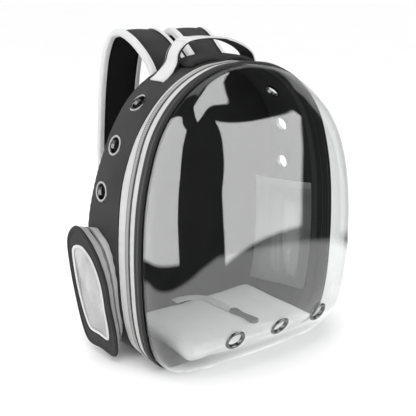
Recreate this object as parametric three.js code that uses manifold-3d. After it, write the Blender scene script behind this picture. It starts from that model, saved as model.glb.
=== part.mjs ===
import * as THREE from 'three';
import { mergeVertices } from 'three/addons/utils/BufferGeometryUtils.js';
import Module from 'manifold-3d';

const wasm = await Module();
wasm.setup();

// A backpack for a small pet: a black cloth body with a clear domed front.
// Millimetres. The dome faces -Y, the side that is worn faces +Y, and Z is up from the underside.
// The origin is the middle of the gusset's flat underside.

// Body
const bodyWidth = 320;
const bodyHeight = 375;
const gussetDepth = 80;
const topDepth = 54;
const topReach = 12;
const clothWall = 3;
const backEdgeRound = 6;
const backPanelThickness = 6;
const fitGap = 0.3;

// Zip band and binding, from the gusset forward
const rearTapeWidth = 16;
const coilWidth = 10;
const frontTapeWidth = 11;
const bindingWidth = 13.6;
const tapeThickness = 2.2;
const tapeInset = 0.6;
const bindingProud = 1.5;
const bindingWall = 1.7;

// Clear dome
const bubbleDepth = 85;
const bubbleWall = 1.6;
const bubbleSquareness = 2.6;
const bubbleFootSquareness = 3.4;
const bubbleCentreHeight = 170;
const flangeDepth = 9.5;

// Eyelets
const eyeletOuterRadius = 14;
const eyeletHoleRadius = 9.5;
const eyeletBarrelWall = 1.3;
const eyeletFlangeThickness = 1.4;
const eyeletTail = 0.9;
const eyeletSides = 12;
const bubbleEyeletHeight = 51;
const bubbleEyeletSpacing = 70;

// Side windows
const windowWidth = 84;
const windowHeight = 163;
const windowFrontReach = 3;
const windowBottomHeight = 11;
const windowFrameThickness = 3;
const windowProud = 9;
const windowProudTop = 14;
const windowProudBack = 8.4;
const windowWall = 2.4;
const netThickness = 1;
const windowHoleMargin = 4.5;
const windowHoleReach = 36;
const pocketHeight = 193;
const pocketFoot = 31;
const pocketCorner = 30;

// Floor cushion and leash
const matHalfWidth = 112;
const matThickness = 23;
const matEdgeRound = 4;
const matClearance = 10;
const leashWidth = 15;
const leashThickness = 1.6;
const clipLength = 46;
const clipWidth = 13;
const clipThickness = 4;
const clipNeckShare = 0.35;
const clipNeckWidth = 7;
const clipEyeRadius = 3.25;

// Grab handle
const handleWidth = 28;
const handleCentre = -18;
const handleHalfSpan = 70;
const handleRise = 29.5;
const handleFoot = 14;
const handleThickness = 1.6;
const handleBackingMargin = 1.4;
const topPadRise = 6;
const topPadHalfLength = 56;
const topPadRound = 8;
const topPadFrontShare = 0.6;
const topPadBackShare = 0.3;
const topPadEndShare = 0.5;

// Shoulder straps
const strapWidth = 60;
const strapThickness = 7.6;
const strapRise = 30;
const strapReach = 98;
const strapSpread = 38;
const strapRootGap = 1.9;
const strapEdgeCover = 9;
const strapEdgeThickness = 0.8;
const strapWebWidth = 25;
const strapWebThickness = 1.8;
const strapRootLength = 23;
const strapWebTail = 25;
const adjusterBar = 4;
const adjusterBite = 1;
const adjusterThickness = 3;
const adjusterGap = 1.8;

// Numbers of facets
const halfSteps = 28;
const bubbleRings = 8;
const windowSteps = 21;
const matSteps = 11;
const strapSteps = 19;
const handleSteps = 20;
const webSteps = 10;
const leashSteps = 12;
const pocketSteps = 10;
const clipSteps = 6;

// The body's outline from the front: spread is a share of half the width, rise a share of the height.
const outlineRows = [
  { spread: 0.000, rise: 0.000 },
  { spread: 0.360, rise: 0.000 },
  { spread: 0.700, rise: 0.000 },
  { spread: 0.790, rise: 0.005 },
  { spread: 0.850, rise: 0.021 },
  { spread: 0.915, rise: 0.059 },
  { spread: 0.955, rise: 0.110 },
  { spread: 0.985, rise: 0.190 },
  { spread: 1.000, rise: 0.300 },
  { spread: 0.999, rise: 0.420 },
  { spread: 0.972, rise: 0.560 },
  { spread: 0.920, rise: 0.670 },
  { spread: 0.825, rise: 0.787 },
  { spread: 0.685, rise: 0.874 },
  { spread: 0.500, rise: 0.940 },
  { spread: 0.260, rise: 0.985 },
  { spread: 0.000, rise: 1.000 },
];

// How far the dome stands out at each height: depth is a share of its greatest depth.
const bubbleRows = [
  { rise: 0.000, depth: 0.39 },
  { rise: 0.032, depth: 0.50 },
  { rise: 0.067, depth: 0.61 },
  { rise: 0.136, depth: 0.85 },
  { rise: 0.240, depth: 0.97 },
  { rise: 0.400, depth: 1.00 },
  { rise: 0.550, depth: 0.99 },
  { rise: 0.690, depth: 0.93 },
  { rise: 0.800, depth: 0.77 },
  { rise: 0.880, depth: 0.51 },
  { rise: 0.940, depth: 0.25 },
  { rise: 1.000, depth: 0.04 },
];

// Side window seen from its own side: across runs from front to back and up from bottom to top, both
// as shares of the window's width and height, for its outer face, its mouth and its net.
const windowRows = [
  { faceAcross: 0.70, faceUp: 1.00, mouthAcross: 0.66, mouthUp: 0.96, netAcross: 0.63, netUp: 0.85 },
  { faceAcross: 0.42, faceUp: 0.94, mouthAcross: 0.47, mouthUp: 0.93, netAcross: 0.43, netUp: 0.80 },
  { faceAcross: 0.20, faceUp: 0.80, mouthAcross: 0.24, mouthUp: 0.85, netAcross: 0.28, netUp: 0.70 },
  { faceAcross: 0.06, faceUp: 0.61, mouthAcross: 0.09, mouthUp: 0.66, netAcross: 0.19, netUp: 0.55 },
  { faceAcross: 0.03, faceUp: 0.40, mouthAcross: 0.06, mouthUp: 0.42, netAcross: 0.17, netUp: 0.37 },
  { faceAcross: -0.03, faceUp: 0.17, mouthAcross: 0.07, mouthUp: 0.22, netAcross: 0.14, netUp: 0.20 },
  { faceAcross: 0.02, faceUp: 0.01, mouthAcross: 0.16, mouthUp: 0.155, netAcross: 0.17, netUp: 0.115 },
  { faceAcross: 0.40, faceUp: 0.00, mouthAcross: 0.45, mouthUp: 0.145, netAcross: 0.42, netUp: 0.115 },
  { faceAcross: 0.76, faceUp: 0.015, mouthAcross: 0.78, mouthUp: 0.16, netAcross: 0.68, netUp: 0.135 },
  { faceAcross: 0.87, faceUp: 0.13, mouthAcross: 0.88, mouthUp: 0.23, netAcross: 0.78, netUp: 0.24 },
  { faceAcross: 0.96, faceUp: 0.40, mouthAcross: 0.92, mouthUp: 0.43, netAcross: 0.87, netUp: 0.44 },
  { faceAcross: 1.00, faceUp: 0.65, mouthAcross: 0.93, mouthUp: 0.66, netAcross: 0.90, netUp: 0.64 },
  { faceAcross: 0.97, faceUp: 0.86, mouthAcross: 0.92, mouthUp: 0.84, netAcross: 0.88, netUp: 0.79 },
];

// Eyelets on each side of the gusset: rise is a share of the body's height, and across the place
// between the gusset's front edge and its back edge.
const sideEyeletRows = [
  { rise: 0.871, across: 0.51 },
  { rise: 0.734, across: 0.59 },
  { rise: 0.576, across: 0.62 },
];

// Free run of the grab handle: along is a share of half its span, lift a share of its rise.
const handleRows = [
  { along: -0.90, lift: -0.10 },
  { along: -0.85, lift: 0.30 },
  { along: -0.76, lift: 0.60 },
  { along: -0.62, lift: 0.83 },
  { along: -0.30, lift: 0.93 },
  { along: 0.00, lift: 0.92 },
  { along: 0.28, lift: 0.85 },
  { along: 0.52, lift: 0.68 },
  { along: 0.73, lift: 0.44 },
  { along: 0.87, lift: 0.16 },
  { along: 0.94, lift: -0.20 },
];

// Shoulder strap's centre line: back is a share of its reach behind the top of the back panel,
// height a share of its top, and spread a multiple of its distance from the middle at the root.
const strapRows = [
  { back: 0.000, height: 0.870, spread: 0.95 },
  { back: 0.060, height: 0.895, spread: 0.95 },
  { back: 0.150, height: 0.918, spread: 0.95 },
  { back: 0.300, height: 0.947, spread: 0.96 },
  { back: 0.500, height: 0.980, spread: 1.02 },
  { back: 0.750, height: 1.000, spread: 1.09 },
  { back: 0.930, height: 0.985, spread: 1.16 },
  { back: 1.020, height: 0.930, spread: 1.28 },
  { back: 1.050, height: 0.840, spread: 1.42 },
  { back: 1.050, height: 0.720, spread: 1.55 },
  { back: 1.030, height: 0.600, spread: 1.66 },
  { back: 0.980, height: 0.510, spread: 1.74 },
];

// Lower webbing from the strap's end to the foot of the back panel, by shares of the same sizes.
const strapWebRows = [
  { back: 0.955, height: 0.470, spread: 1.78 },
  { back: 0.860, height: 0.370, spread: 2.05 },
  { back: 0.650, height: 0.240, spread: 2.50 },
  { back: 0.440, height: 0.140, spread: 2.85 },
];

// The leash on the mat: side and front are shares of the mat's half width and of the gusset's depth.
const leashRows = [
  { side: -0.30, front: 0.30 },
  { side: -0.14, front: 0.29 },
  { side: 0.00, front: 0.21 },
  { side: 0.08, front: 0.06 },
  { side: 0.10, front: -0.25 },
  { side: 0.11, front: -0.62 },
];

// The window's sleeve from the gusset out to its frame, by shares of the way.
const sleeveRows = [
  { part: 'tape_inner', from: 0.00, to: 0.42, look: 'greyTape' },
  { part: 'coil', from: 0.45, to: 0.58, look: 'coil' },
  { part: 'tape_outer', from: 0.61, to: 1.00, look: 'greyTape' },
];

const colours = {
  blackCloth: { color: 0x3e3e40, roughness: 0.85, metalness: 0 },
  binding: { color: 0x2c2c2e, roughness: 0.6, metalness: 0 },
  greyTape: { color: 0xbcbcbc, roughness: 0.8, metalness: 0 },
  coil: { color: 0x6c6c6e, roughness: 0.5, metalness: 0 },
  clear: { color: 0xdde2e4, roughness: 0.05, metalness: 0 },
  metal: { color: 0x8c8c8e, roughness: 0.2, metalness: 1 },
  net: { color: 0xe4e4e4, roughness: 0.9, metalness: 0 },
  mat: { color: 0xc0c0c0, roughness: 0.9, metalness: 0 },
  webbing: { color: 0xdedede, roughness: 0.8, metalness: 0 },
  plastic: { color: 0x555558, roughness: 0.5, metalness: 0 },
};

const bag = new THREE.Group();
const strapTop = bodyHeight + strapRise;
const gussetFront = -gussetDepth / 2;
const rearTapeFront = gussetFront - fitGap - rearTapeWidth;
const coilFront = rearTapeFront - fitGap - coilWidth;
const frontTapeFront = coilFront - fitGap - frontTapeWidth;
const rimFront = frontTapeFront - fitGap - bindingWidth;
const bubbleInset = bindingWall + fitGap;

function addMesh(group, name, geometry, look) {
  const mesh = new THREE.Mesh(geometry, new THREE.MeshStandardMaterial(look));
  mesh.name = name;
  group.add(mesh);
  return mesh;
}

function addGroup() {
  const group = new THREE.Group();
  bag.add(group);
  return group;
}

function volumeOf(vertices, triangles) {
  let sum = 0;
  for (const [a, b, c] of triangles) {
    sum += vertices[a].dot(new THREE.Vector3().crossVectors(vertices[b], vertices[c]));
  }
  return sum / 6;
}

function closedGeometry(vertices, triangles) {
  const outward = volumeOf(vertices, triangles) > 0;
  const geometry = new THREE.BufferGeometry();
  const positions = vertices.flatMap((v) => [v.x, v.y, v.z]);
  const index = triangles.flatMap(([a, b, c]) => (outward ? [a, b, c] : [a, c, b]));
  geometry.setAttribute('position', new THREE.Float32BufferAttribute(positions, 3));
  geometry.setIndex(index);
  return geometry;
}

function mirrored(geometry) {
  const flat = geometry.index ? geometry.toNonIndexed() : geometry.clone();
  flat.scale(-1, 1, 1);
  const positions = flat.attributes.position;
  const order = Array.from({ length: positions.count }, (_, i) => i - (i % 3) + [0, 2, 1][i % 3]);
  flat.setIndex(order);
  return flat;
}

function toSolid(geometry) {
  const bare = geometry.clone();
  bare.deleteAttribute('normal');
  bare.deleteAttribute('uv');
  const merged = mergeVertices(bare, 1e-4);
  const vertProperties = new Float32Array(merged.attributes.position.array);
  const triVerts = new Uint32Array(merged.index.array);
  return new wasm.Manifold(new wasm.Mesh({ numProp: 3, vertProperties, triVerts }));
}

function toGeometry(solid) {
  const mesh = solid.getMesh();
  const geometry = new THREE.BufferGeometry();
  const positions = new Float32Array(mesh.vertProperties);
  geometry.setAttribute('position', new THREE.BufferAttribute(positions, 3));
  geometry.setIndex(Array.from(mesh.triVerts));
  return geometry;
}

function cutAway(geometry, cutters) {
  const cut = cutters.reduce((solid, cutter) => solid.subtract(toSolid(cutter)), toSolid(geometry));
  return toGeometry(cut);
}

// A straight wall between two closed loops of the same length, as pairs of triangles.
function band(loopA, loopB, closed = true) {
  const triangles = [];
  const last = closed ? loopA.length : loopA.length - 1;
  for (let i = 0; i < last; i += 1) {
    const next = (i + 1) % loopA.length;
    triangles.push([loopA[i], loopB[i], loopB[next]]);
    triangles.push([loopA[i], loopB[next], loopA[next]]);
  }
  return triangles;
}

// A ring: one section of points per station, all joined round.
function ringGeometry(sections) {
  const count = sections[0].length;
  const vertices = sections.flat();
  const loops = Array.from({ length: count }, (_, j) => sections.map((_section, i) => i * count + j));
  const triangles = loops.flatMap((loop, j) => band(loop, loops[(j + 1) % count]));
  return closedGeometry(vertices, triangles);
}

// A bar: the same sections joined end to end, with flat ends.
function barGeometry(sections, flatSection) {
  const count = sections[0].length;
  const vertices = sections.flat();
  const loops = sections.map((_, i) => Array.from({ length: count }, (_unused, j) => i * count + j));
  const triangles = [];
  for (let i = 0; i < loops.length - 1; i += 1) triangles.push(...band(loops[i], loops[i + 1]));
  const cap = THREE.ShapeUtils.triangulateShape(flatSection, []);
  const wound = THREE.ShapeUtils.isClockWise(flatSection) ? -1 : 1;
  const [first, last] = [loops[0], loops[loops.length - 1]];
  for (const [a, b, c] of cap) {
    const turned = wound > 0 ? [a, b, c] : [a, c, b];
    triangles.push([first[turned[0]], first[turned[1]], first[turned[2]]]);
    triangles.push([last[turned[0]], last[turned[2]], last[turned[1]]]);
  }
  return closedGeometry(vertices, triangles);
}

// Outline of the body
function halfOutline() {
  const points = outlineRows.map(
    (row) => new THREE.Vector3(row.spread * bodyWidth / 2, 0, row.rise * bodyHeight),
  );
  const curve = new THREE.CatmullRomCurve3(points, false, 'centripetal');
  const flat = 0.001 * bodyHeight;
  return curve.getSpacedPoints(halfSteps).map(
    (p) => new THREE.Vector2(p.x, p.y + (p.z < flat ? 0 : p.z)),
  );
}

const rightHalf = halfOutline();
const leftHalf = rightHalf.slice(1, -1).reverse().map((p) => new THREE.Vector2(-p.x, p.y));
const stations = [...rightHalf, ...leftHalf].map((point, i, all) => {
  const before = all[(i + all.length - 1) % all.length];
  const after = all[(i + 1) % all.length];
  const along = after.clone().sub(before).normalize();
  return { point, normal: new THREE.Vector2(along.y, -along.x) };
});

function outlinePoint(station, out, y) {
  const x = station.point.x + station.normal.x * out;
  const z = station.point.y + station.normal.y * out;
  return new THREE.Vector3(x, y, Math.max(0, z));
}

// Half the body's width at a height, and the body's height at a distance from the middle.
function between(points, from, to, at) {
  for (let i = 0; i < points.length - 1; i += 1) {
    const [a, b] = [points[i], points[i + 1]];
    const low = Math.min(a[from], b[from]);
    const high = Math.max(a[from], b[from]);
    if (at >= low && at <= high && high > low) {
      return a[to] + (b[to] - a[to]) * (at - a[from]) / (b[from] - a[from]);
    }
  }
  return null;
}

const shoulderStart = rightHalf.findIndex((p) => p.x >= Math.max(...rightHalf.map((q) => q.x)) - 1e-6);
const upperHalf = rightHalf.slice(shoulderStart);

function halfWidthAt(height, inset = 0) {
  const clamped = Math.min(Math.max(height, 0.2), bodyHeight - 0.2);
  return between(rightHalf, 'y', 'x', clamped) - inset;
}

function topAt(x) {
  return between(upperHalf, 'x', 'y', Math.abs(x));
}

// A place on the body's top and the direction square to it, at a distance from the middle.
function topStation(x) {
  const point = new THREE.Vector2(x, topAt(x));
  const fall = point.y - topAt(Math.abs(x) + 1);
  return { point, normal: new THREE.Vector2(Math.sign(x) * fall, 1).normalize() };
}

// Eases from 0 to 1 while the height goes from one share of the body's height to another.
function eased(height, from, to) {
  return THREE.MathUtils.smoothstep(height / bodyHeight, from, to);
}

// The back stands straight at the bottom and leans forward further up.
function backLine(height) {
  return gussetFront + gussetDepth - (gussetDepth - topDepth) * eased(height, 0.40, 0.83);
}

// The cloth reaches forward over the zip band towards the top.
function frontLine(height) {
  return gussetFront - topReach * eased(height, 0.60, 0.90);
}

// Rings that follow the outline
function hoop(sectionAt) {
  return ringGeometry(stations.map(
    (station) => sectionAt(station).map(([out, y]) => outlinePoint(station, out, y)),
  ));
}

function tapeHoop(front, backAt, lift) {
  const outer = lift - tapeInset;
  return hoop((station) => {
    const back = backAt(station.point.y);
    return [[outer, front], [outer, back], [outer - tapeThickness, back], [outer - tapeThickness, front]];
  });
}

const lipDepth = backEdgeRound * 0.75;

function gussetHoop() {
  return hoop((station) => {
    const back = backLine(station.point.y);
    const front = frontLine(station.point.y);
    return [
      [0, front], [0, back - backEdgeRound],
      [-lipDepth, back], [-lipDepth - clothWall, back],
      [-lipDepth - clothWall, back - clothWall], [-clothWall, back - backEdgeRound - clothWall / 2],
      [-clothWall, front],
    ];
  });
}

function bindingHoop() {
  const back = rimFront + bindingWidth;
  const grooveBack = rimFront + flangeDepth + fitGap;
  const innerWall = bubbleInset + bubbleWall + fitGap;
  return hoop((station) => {
    const proud = bindingProud * Math.min(1, station.point.y / (bindingProud * 20));
    return [
      [proud * 0.4, rimFront], [proud, rimFront + bindingProud], [proud, back],
      [-innerWall - bindingWall, back], [-innerWall - bindingWall, rimFront],
      [-innerWall, rimFront], [-innerWall, grooveBack],
      [-bindingWall, grooveBack], [-bindingWall, rimFront],
    ];
  });
}

// Back panel, inside the gusset's rear lip
function backPanelGeometry() {
  const inset = lipDepth + clothWall + fitGap;
  const vertices = [];
  const triangles = [];
  const rows = rightHalf.map((_, i) => {
    const edge = outlinePoint(stations[i], -inset, 0);
    const middle = i === 0 || i === rightHalf.length - 1;
    const columns = middle ? [0] : [edge.x, -edge.x];
    const back = backLine(rightHalf[i].y) + fitGap * 2;
    const [outer, inner] = [back, back - backPanelThickness].map((y) => columns.map((x) => {
      vertices.push(new THREE.Vector3(x, y, edge.z));
      return vertices.length - 1;
    }));
    return { outer, inner };
  });
  const pick = (list, side) => list[Math.min(side, list.length - 1)];
  for (let i = 0; i < rows.length - 1; i += 1) {
    const [low, high] = [rows[i], rows[i + 1]];
    const quads = [
      [pick(low.outer, 0), pick(high.outer, 0), pick(high.outer, 1), pick(low.outer, 1)],
      [pick(low.inner, 1), pick(high.inner, 1), pick(high.inner, 0), pick(low.inner, 0)],
      [pick(low.inner, 0), pick(high.inner, 0), pick(high.outer, 0), pick(low.outer, 0)],
      [pick(low.outer, 1), pick(high.outer, 1), pick(high.inner, 1), pick(low.inner, 1)],
    ];
    for (const [a, b, c, d] of quads) {
      for (const triangle of [[a, b, c], [a, c, d]]) {
        if (new Set(triangle).size === 3) triangles.push(triangle);
      }
    }
  }
  return closedGeometry(vertices, triangles);
}

// Clear dome
const bubbleProfile = new THREE.CatmullRomCurve3(
  bubbleRows.map((row) => new THREE.Vector3(row.rise, row.depth, 0)), false, 'centripetal',
);
const bubbleSamples = bubbleProfile.getPoints(200);

function domeDepth(x, z) {
  const rise = Math.min(1, Math.max(0, z / bodyHeight));
  const depth = between(bubbleSamples, 'x', 'y', rise) * bubbleDepth;
  const ratio = Math.min(1, Math.abs(x) / Math.max(1, halfWidthAt(z, bubbleInset)));
  const power = THREE.MathUtils.lerp(bubbleFootSquareness, bubbleSquareness, eased(z, 0, 0.18));
  return depth * (1 - ratio ** power) ** (1 / power);
}

// Points at even steps along the dome from its rim at one station to its middle.
function domeRib(station) {
  const rim = outlinePoint(station, -bubbleInset, rimFront);
  const steps = 80;
  const dense = [rim];
  for (let k = 0; k <= steps; k += 1) {
    const share = 1 - k / steps;
    const x = rim.x * share;
    const z = bubbleCentreHeight + (rim.z - bubbleCentreHeight) * share;
    dense.push(new THREE.Vector3(x, rimFront - domeDepth(x, z), z));
  }
  const lengths = [0];
  for (let k = 1; k < dense.length; k += 1) lengths.push(lengths[k - 1] + dense[k].distanceTo(dense[k - 1]));
  const total = lengths[lengths.length - 1];
  return Array.from({ length: bubbleRings + 1 }, (_, ring) => {
    const target = total * ring / bubbleRings;
    const k = Math.max(1, lengths.findIndex((length) => length >= target - 1e-9));
    const span = lengths[k] - lengths[k - 1];
    const share = span > 0 ? (target - lengths[k - 1]) / span : 0;
    return dense[k - 1].clone().lerp(dense[k], share);
  });
}

function bubbleGeometry() {
  const ribs = stations.map(domeRib);
  const count = ribs.length;
  const apex = ribs[0][bubbleRings];
  const vertices = [];
  const put = (point) => vertices.push(point) - 1;
  const inward = (i, j) => {
    const round = ribs[(i + 1) % count][j].clone().sub(ribs[(i + count - 1) % count][j]);
    const inner = ribs[i][j + 1].clone().sub(ribs[i][Math.max(0, j - 1)]);
    const normal = new THREE.Vector3().crossVectors(round, inner).normalize();
    const towards = new THREE.Vector3(0, rimFront, bubbleCentreHeight).sub(ribs[i][j]);
    return normal.dot(towards) > 0 ? normal : normal.negate();
  };
  const outerLoops = [];
  const innerLoops = [];
  const flangeBack = rimFront + flangeDepth;
  const flange = (out) => stations.map((s) => put(outlinePoint(s, out, flangeBack)));
  const rim = (out) => stations.map((s) => put(outlinePoint(s, out, rimFront)));
  outerLoops.push(flange(-bubbleInset), rim(-bubbleInset));
  innerLoops.push(flange(-bubbleInset - bubbleWall), rim(-bubbleInset - bubbleWall));
  for (let j = 1; j < bubbleRings; j += 1) {
    outerLoops.push(ribs.map((rib) => put(rib[j].clone())));
    innerLoops.push(ribs.map((rib, i) => put(rib[j].clone().addScaledVector(inward(i, j), bubbleWall))));
  }
  const outerApex = put(apex.clone());
  const innerApex = put(apex.clone().add(new THREE.Vector3(0, bubbleWall, 0)));
  const triangles = [];
  const last = outerLoops.length - 1;
  for (let j = 0; j < last; j += 1) {
    triangles.push(...band(outerLoops[j], outerLoops[j + 1]));
    triangles.push(...band(innerLoops[j + 1], innerLoops[j]));
  }
  triangles.push(...band(innerLoops[0], outerLoops[0]));
  for (let i = 0; i < count; i += 1) {
    const next = (i + 1) % count;
    triangles.push([outerLoops[last][i], outerApex, outerLoops[last][next]]);
    triangles.push([innerLoops[last][next], innerApex, innerLoops[last][i]]);
  }
  return closedGeometry(vertices, triangles);
}

// Eyelets: each is seated on the facet that it meets.
function seatOn(geometry, from, direction) {
  const target = new THREE.Mesh(geometry, new THREE.MeshBasicMaterial({ side: THREE.DoubleSide }));
  const ray = new THREE.Raycaster(from, direction.clone().normalize());
  const hit = ray.intersectObject(target)[0];
  const normal = hit.face.normal.clone();
  if (normal.dot(direction) > 0) normal.negate();
  return { point: hit.point, normal };
}

function placeOnSeat(mesh, seat) {
  mesh.quaternion.setFromUnitVectors(new THREE.Vector3(0, 1, 0), seat.normal);
  mesh.position.copy(seat.point);
  mesh.updateMatrix();
  return mesh;
}

const barrelRadius = eyeletHoleRadius + eyeletBarrelWall;

function eyeletHole(seat, wall) {
  const depth = wall * 6;
  const radius = barrelRadius + fitGap;
  const cutter = new THREE.Mesh(new THREE.CylinderGeometry(radius, radius, depth, eyeletSides));
  return cutter.geometry.applyMatrix4(placeOnSeat(cutter, seat).matrix);
}

function eyeletGeometry(wall) {
  const top = fitGap + eyeletFlangeThickness;
  const profile = [
    [eyeletHoleRadius, -wall - eyeletTail], [barrelRadius, -wall - eyeletTail], [barrelRadius, fitGap],
    [eyeletOuterRadius, fitGap], [eyeletOuterRadius - 0.6, top], [eyeletHoleRadius, top],
    [eyeletHoleRadius, -wall - eyeletTail],
  ].map(([radius, height]) => new THREE.Vector2(radius, height));
  return new THREE.LatheGeometry(profile, eyeletSides);
}

function sideEyeletSeats(geometry, side) {
  return sideEyeletRows.map((row) => {
    const z = row.rise * bodyHeight;
    const y = frontLine(z) + (backLine(z) - frontLine(z)) * row.across;
    const x = side * halfWidthAt(z);
    const nearest = stations.reduce((best, s) => {
      const gap = Math.hypot(s.point.x - x, s.point.y - z);
      return gap < best.gap ? { gap, normal: s.normal } : best;
    }, { gap: Infinity });
    const outward = new THREE.Vector3(nearest.normal.x, 0, nearest.normal.y);
    const from = new THREE.Vector3(x, y, z).addScaledVector(outward, bodyWidth / 4);
    return seatOn(geometry, from, outward.clone().negate());
  });
}

// Side windows
const windowFront = gussetFront - windowFrontReach;

function windowLoop(across, up) {
  const points = windowRows.map((row) => new THREE.Vector3(0, row[across], row[up]));
  const curve = new THREE.CatmullRomCurve3(points, true, 'centripetal');
  return curve.getPoints(windowSteps).slice(0, -1).map(
    (p) => new THREE.Vector2(windowFront + p.y * windowWidth, windowBottomHeight + p.z * windowHeight),
  );
}

function insetLoop(loop, distance) {
  return loop.map((point, i) => {
    const before = loop[(i + loop.length - 1) % loop.length];
    const after = loop[(i + 1) % loop.length];
    const along = after.clone().sub(before).normalize();
    const inward = THREE.ShapeUtils.isClockWise(loop)
      ? new THREE.Vector2(along.y, -along.x) : new THREE.Vector2(-along.y, along.x);
    return point.clone().addScaledVector(inward, distance);
  });
}

function windowFaceX(point) {
  const across = (point.x - windowFront) / windowWidth;
  const up = (point.y - windowBottomHeight) / windowHeight;
  return bodyWidth / 2 + windowProud + windowProudTop * up + windowProudBack * across;
}

const windowMouth = windowLoop('mouthAcross', 'mouthUp');
const windowFace = windowLoop('faceAcross', 'faceUp');
const windowNet = windowLoop('netAcross', 'netUp');

function windowSleeve(side, from, to) {
  const wallPoint = (mouth, face, share) => {
    const start = new THREE.Vector3(halfWidthAt(mouth.y) + fitGap * 2, mouth.x, mouth.y);
    const end = new THREE.Vector3(windowFaceX(face) - windowFrameThickness - fitGap, face.x, face.y);
    const point = start.lerp(end, share);
    return new THREE.Vector3(side * point.x, point.y, point.z);
  };
  const [mouthIn, faceIn] = [insetLoop(windowMouth, windowWall), insetLoop(windowFace, windowWall)];
  return ringGeometry(windowMouth.map((mouth, i) => [
    wallPoint(mouth, windowFace[i], from), wallPoint(mouth, windowFace[i], to),
    wallPoint(mouthIn[i], faceIn[i], to), wallPoint(mouthIn[i], faceIn[i], from),
  ]));
}

function windowFrame(side) {
  const at = (point, drop) => new THREE.Vector3(side * (windowFaceX(point) - drop), point.x, point.y);
  return ringGeometry(windowFace.map((face, i) => [
    at(face, 0), at(face, windowFrameThickness),
    at(windowNet[i], windowFrameThickness), at(windowNet[i], 0),
  ]));
}

function windowNetSheet(side) {
  const loop = insetLoop(windowNet, fitGap + 0.1);
  const drop = (windowFrameThickness - netThickness) / 2;
  const at = (point, depth) => new THREE.Vector3(side * (windowFaceX(point) - depth), point.x, point.y);
  return barGeometry([loop.map((p) => at(p, drop)), loop.map((p) => at(p, drop + netThickness))], loop);
}

function windowHole(side) {
  const loop = insetLoop(windowMouth, windowHoleMargin);
  const at = (x) => loop.map((p) => new THREE.Vector3(side * x, p.x, p.y));
  return barGeometry([at(bodyWidth / 2 - windowHoleReach), at(bodyWidth / 2 + windowProud)], loop);
}

// Net pocket across the corner between the far side and the back panel
function pocketSection(z) {
  const side = halfWidthAt(z, clothWall + fitGap * 2);
  const start = new THREE.Vector2(side, rearTapeFront);
  const end = new THREE.Vector2(side - pocketCorner, backLine(z) - backPanelThickness);
  const along = end.clone().sub(start).normalize();
  const inward = new THREE.Vector2(-along.y, along.x).multiplyScalar(netThickness);
  return [start, end, end.clone().add(inward), start.clone().add(inward)];
}

function pocketGeometry() {
  const sections = Array.from({ length: pocketSteps + 1 }, (_, i) => {
    const z = THREE.MathUtils.lerp(pocketFoot, pocketHeight, i / pocketSteps);
    return pocketSection(z).map((p) => new THREE.Vector3(p.x, p.y, z));
  });
  return barGeometry(sections, pocketSection(pocketFoot));
}

// Floor cushion: its front follows the inside of the dome.
const floorHeight = bubbleInset + bubbleWall + fitGap + bindingWall + fitGap;
const matTop = floorHeight + matThickness;

function matLoop(height, inset) {
  const back = backLine(0) - backPanelThickness - fitGap - inset;
  const halfWidth = matHalfWidth - inset;
  const loop = [];
  for (let i = 0; i <= matSteps; i += 1) {
    const x = halfWidth * (2 * i / matSteps - 1);
    const front = rimFront - domeDepth(x, height) + matClearance + bubbleWall + inset;
    loop.push(new THREE.Vector3(x, front, height));
  }
  loop.push(new THREE.Vector3(halfWidth, rimFront, height));
  loop.push(new THREE.Vector3(halfWidth, back, height));
  loop.push(new THREE.Vector3(-halfWidth, back, height));
  loop.push(new THREE.Vector3(-halfWidth, rimFront, height));
  return loop;
}

function matGeometry() {
  const loops = [
    matLoop(floorHeight, matEdgeRound * 1.5),
    matLoop(matTop - matEdgeRound, 0),
    matLoop(matTop, matEdgeRound),
  ];
  return barGeometry(loops, loops[2].map((p) => new THREE.Vector2(p.x, p.y)));
}

// Padded top of the gusset, between the handle's feet
function topPadGeometry() {
  const inner = stations.filter(
    ({ point }) => Math.abs(point.x) < topPadHalfLength && point.y > bodyHeight / 2,
  );
  const ends = [-topPadHalfLength, topPadHalfLength].map(topStation);
  const onTop = [...inner, ...ends].sort((a, b) => a.point.x - b.point.x);
  const section = (station, rise) => {
    const front = frontLine(bodyHeight) + fitGap;
    const back = backLine(bodyHeight) - backEdgeRound - fitGap;
    return [
      [fitGap, front], [fitGap + rise * topPadFrontShare, front], [fitGap + rise, front + topPadRound],
      [fitGap + rise, back - topPadRound * 2], [fitGap + rise * topPadBackShare, back], [fitGap, back],
    ].map(([out, y]) => outlinePoint(station, out, y));
  };
  const sections = onTop.map((station, i) => {
    const end = i === 0 || i === onTop.length - 1;
    return section(station, end ? topPadRise * topPadEndShare : topPadRise);
  });
  return barGeometry(sections, sections[0].map((p) => new THREE.Vector2(p.y, p.z)));
}

// Straps, webbing and handle: a flat section carried along a path. Side is the direction of the width.
function sweep(path, side, section) {
  const sections = path.map((point, i) => {
    const before = path[Math.max(0, i - 1)];
    const after = path[Math.min(path.length - 1, i + 1)];
    const along = after.clone().sub(before).normalize();
    const up = new THREE.Vector3().crossVectors(side, along).normalize();
    const across = new THREE.Vector3().crossVectors(along, up).normalize();
    return section.map(([s, n]) => point.clone().addScaledVector(across, s).addScaledVector(up, n));
  });
  return barGeometry(sections, section.map(([s, n]) => new THREE.Vector2(s, n)));
}

function flatSection(width, low, high) {
  return [[-width / 2, low], [width / 2, low], [width / 2, high], [-width / 2, high]];
}

function spaced(points, steps) {
  return new THREE.CatmullRomCurve3(points, false, 'centripetal').getSpacedPoints(steps);
}

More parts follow.
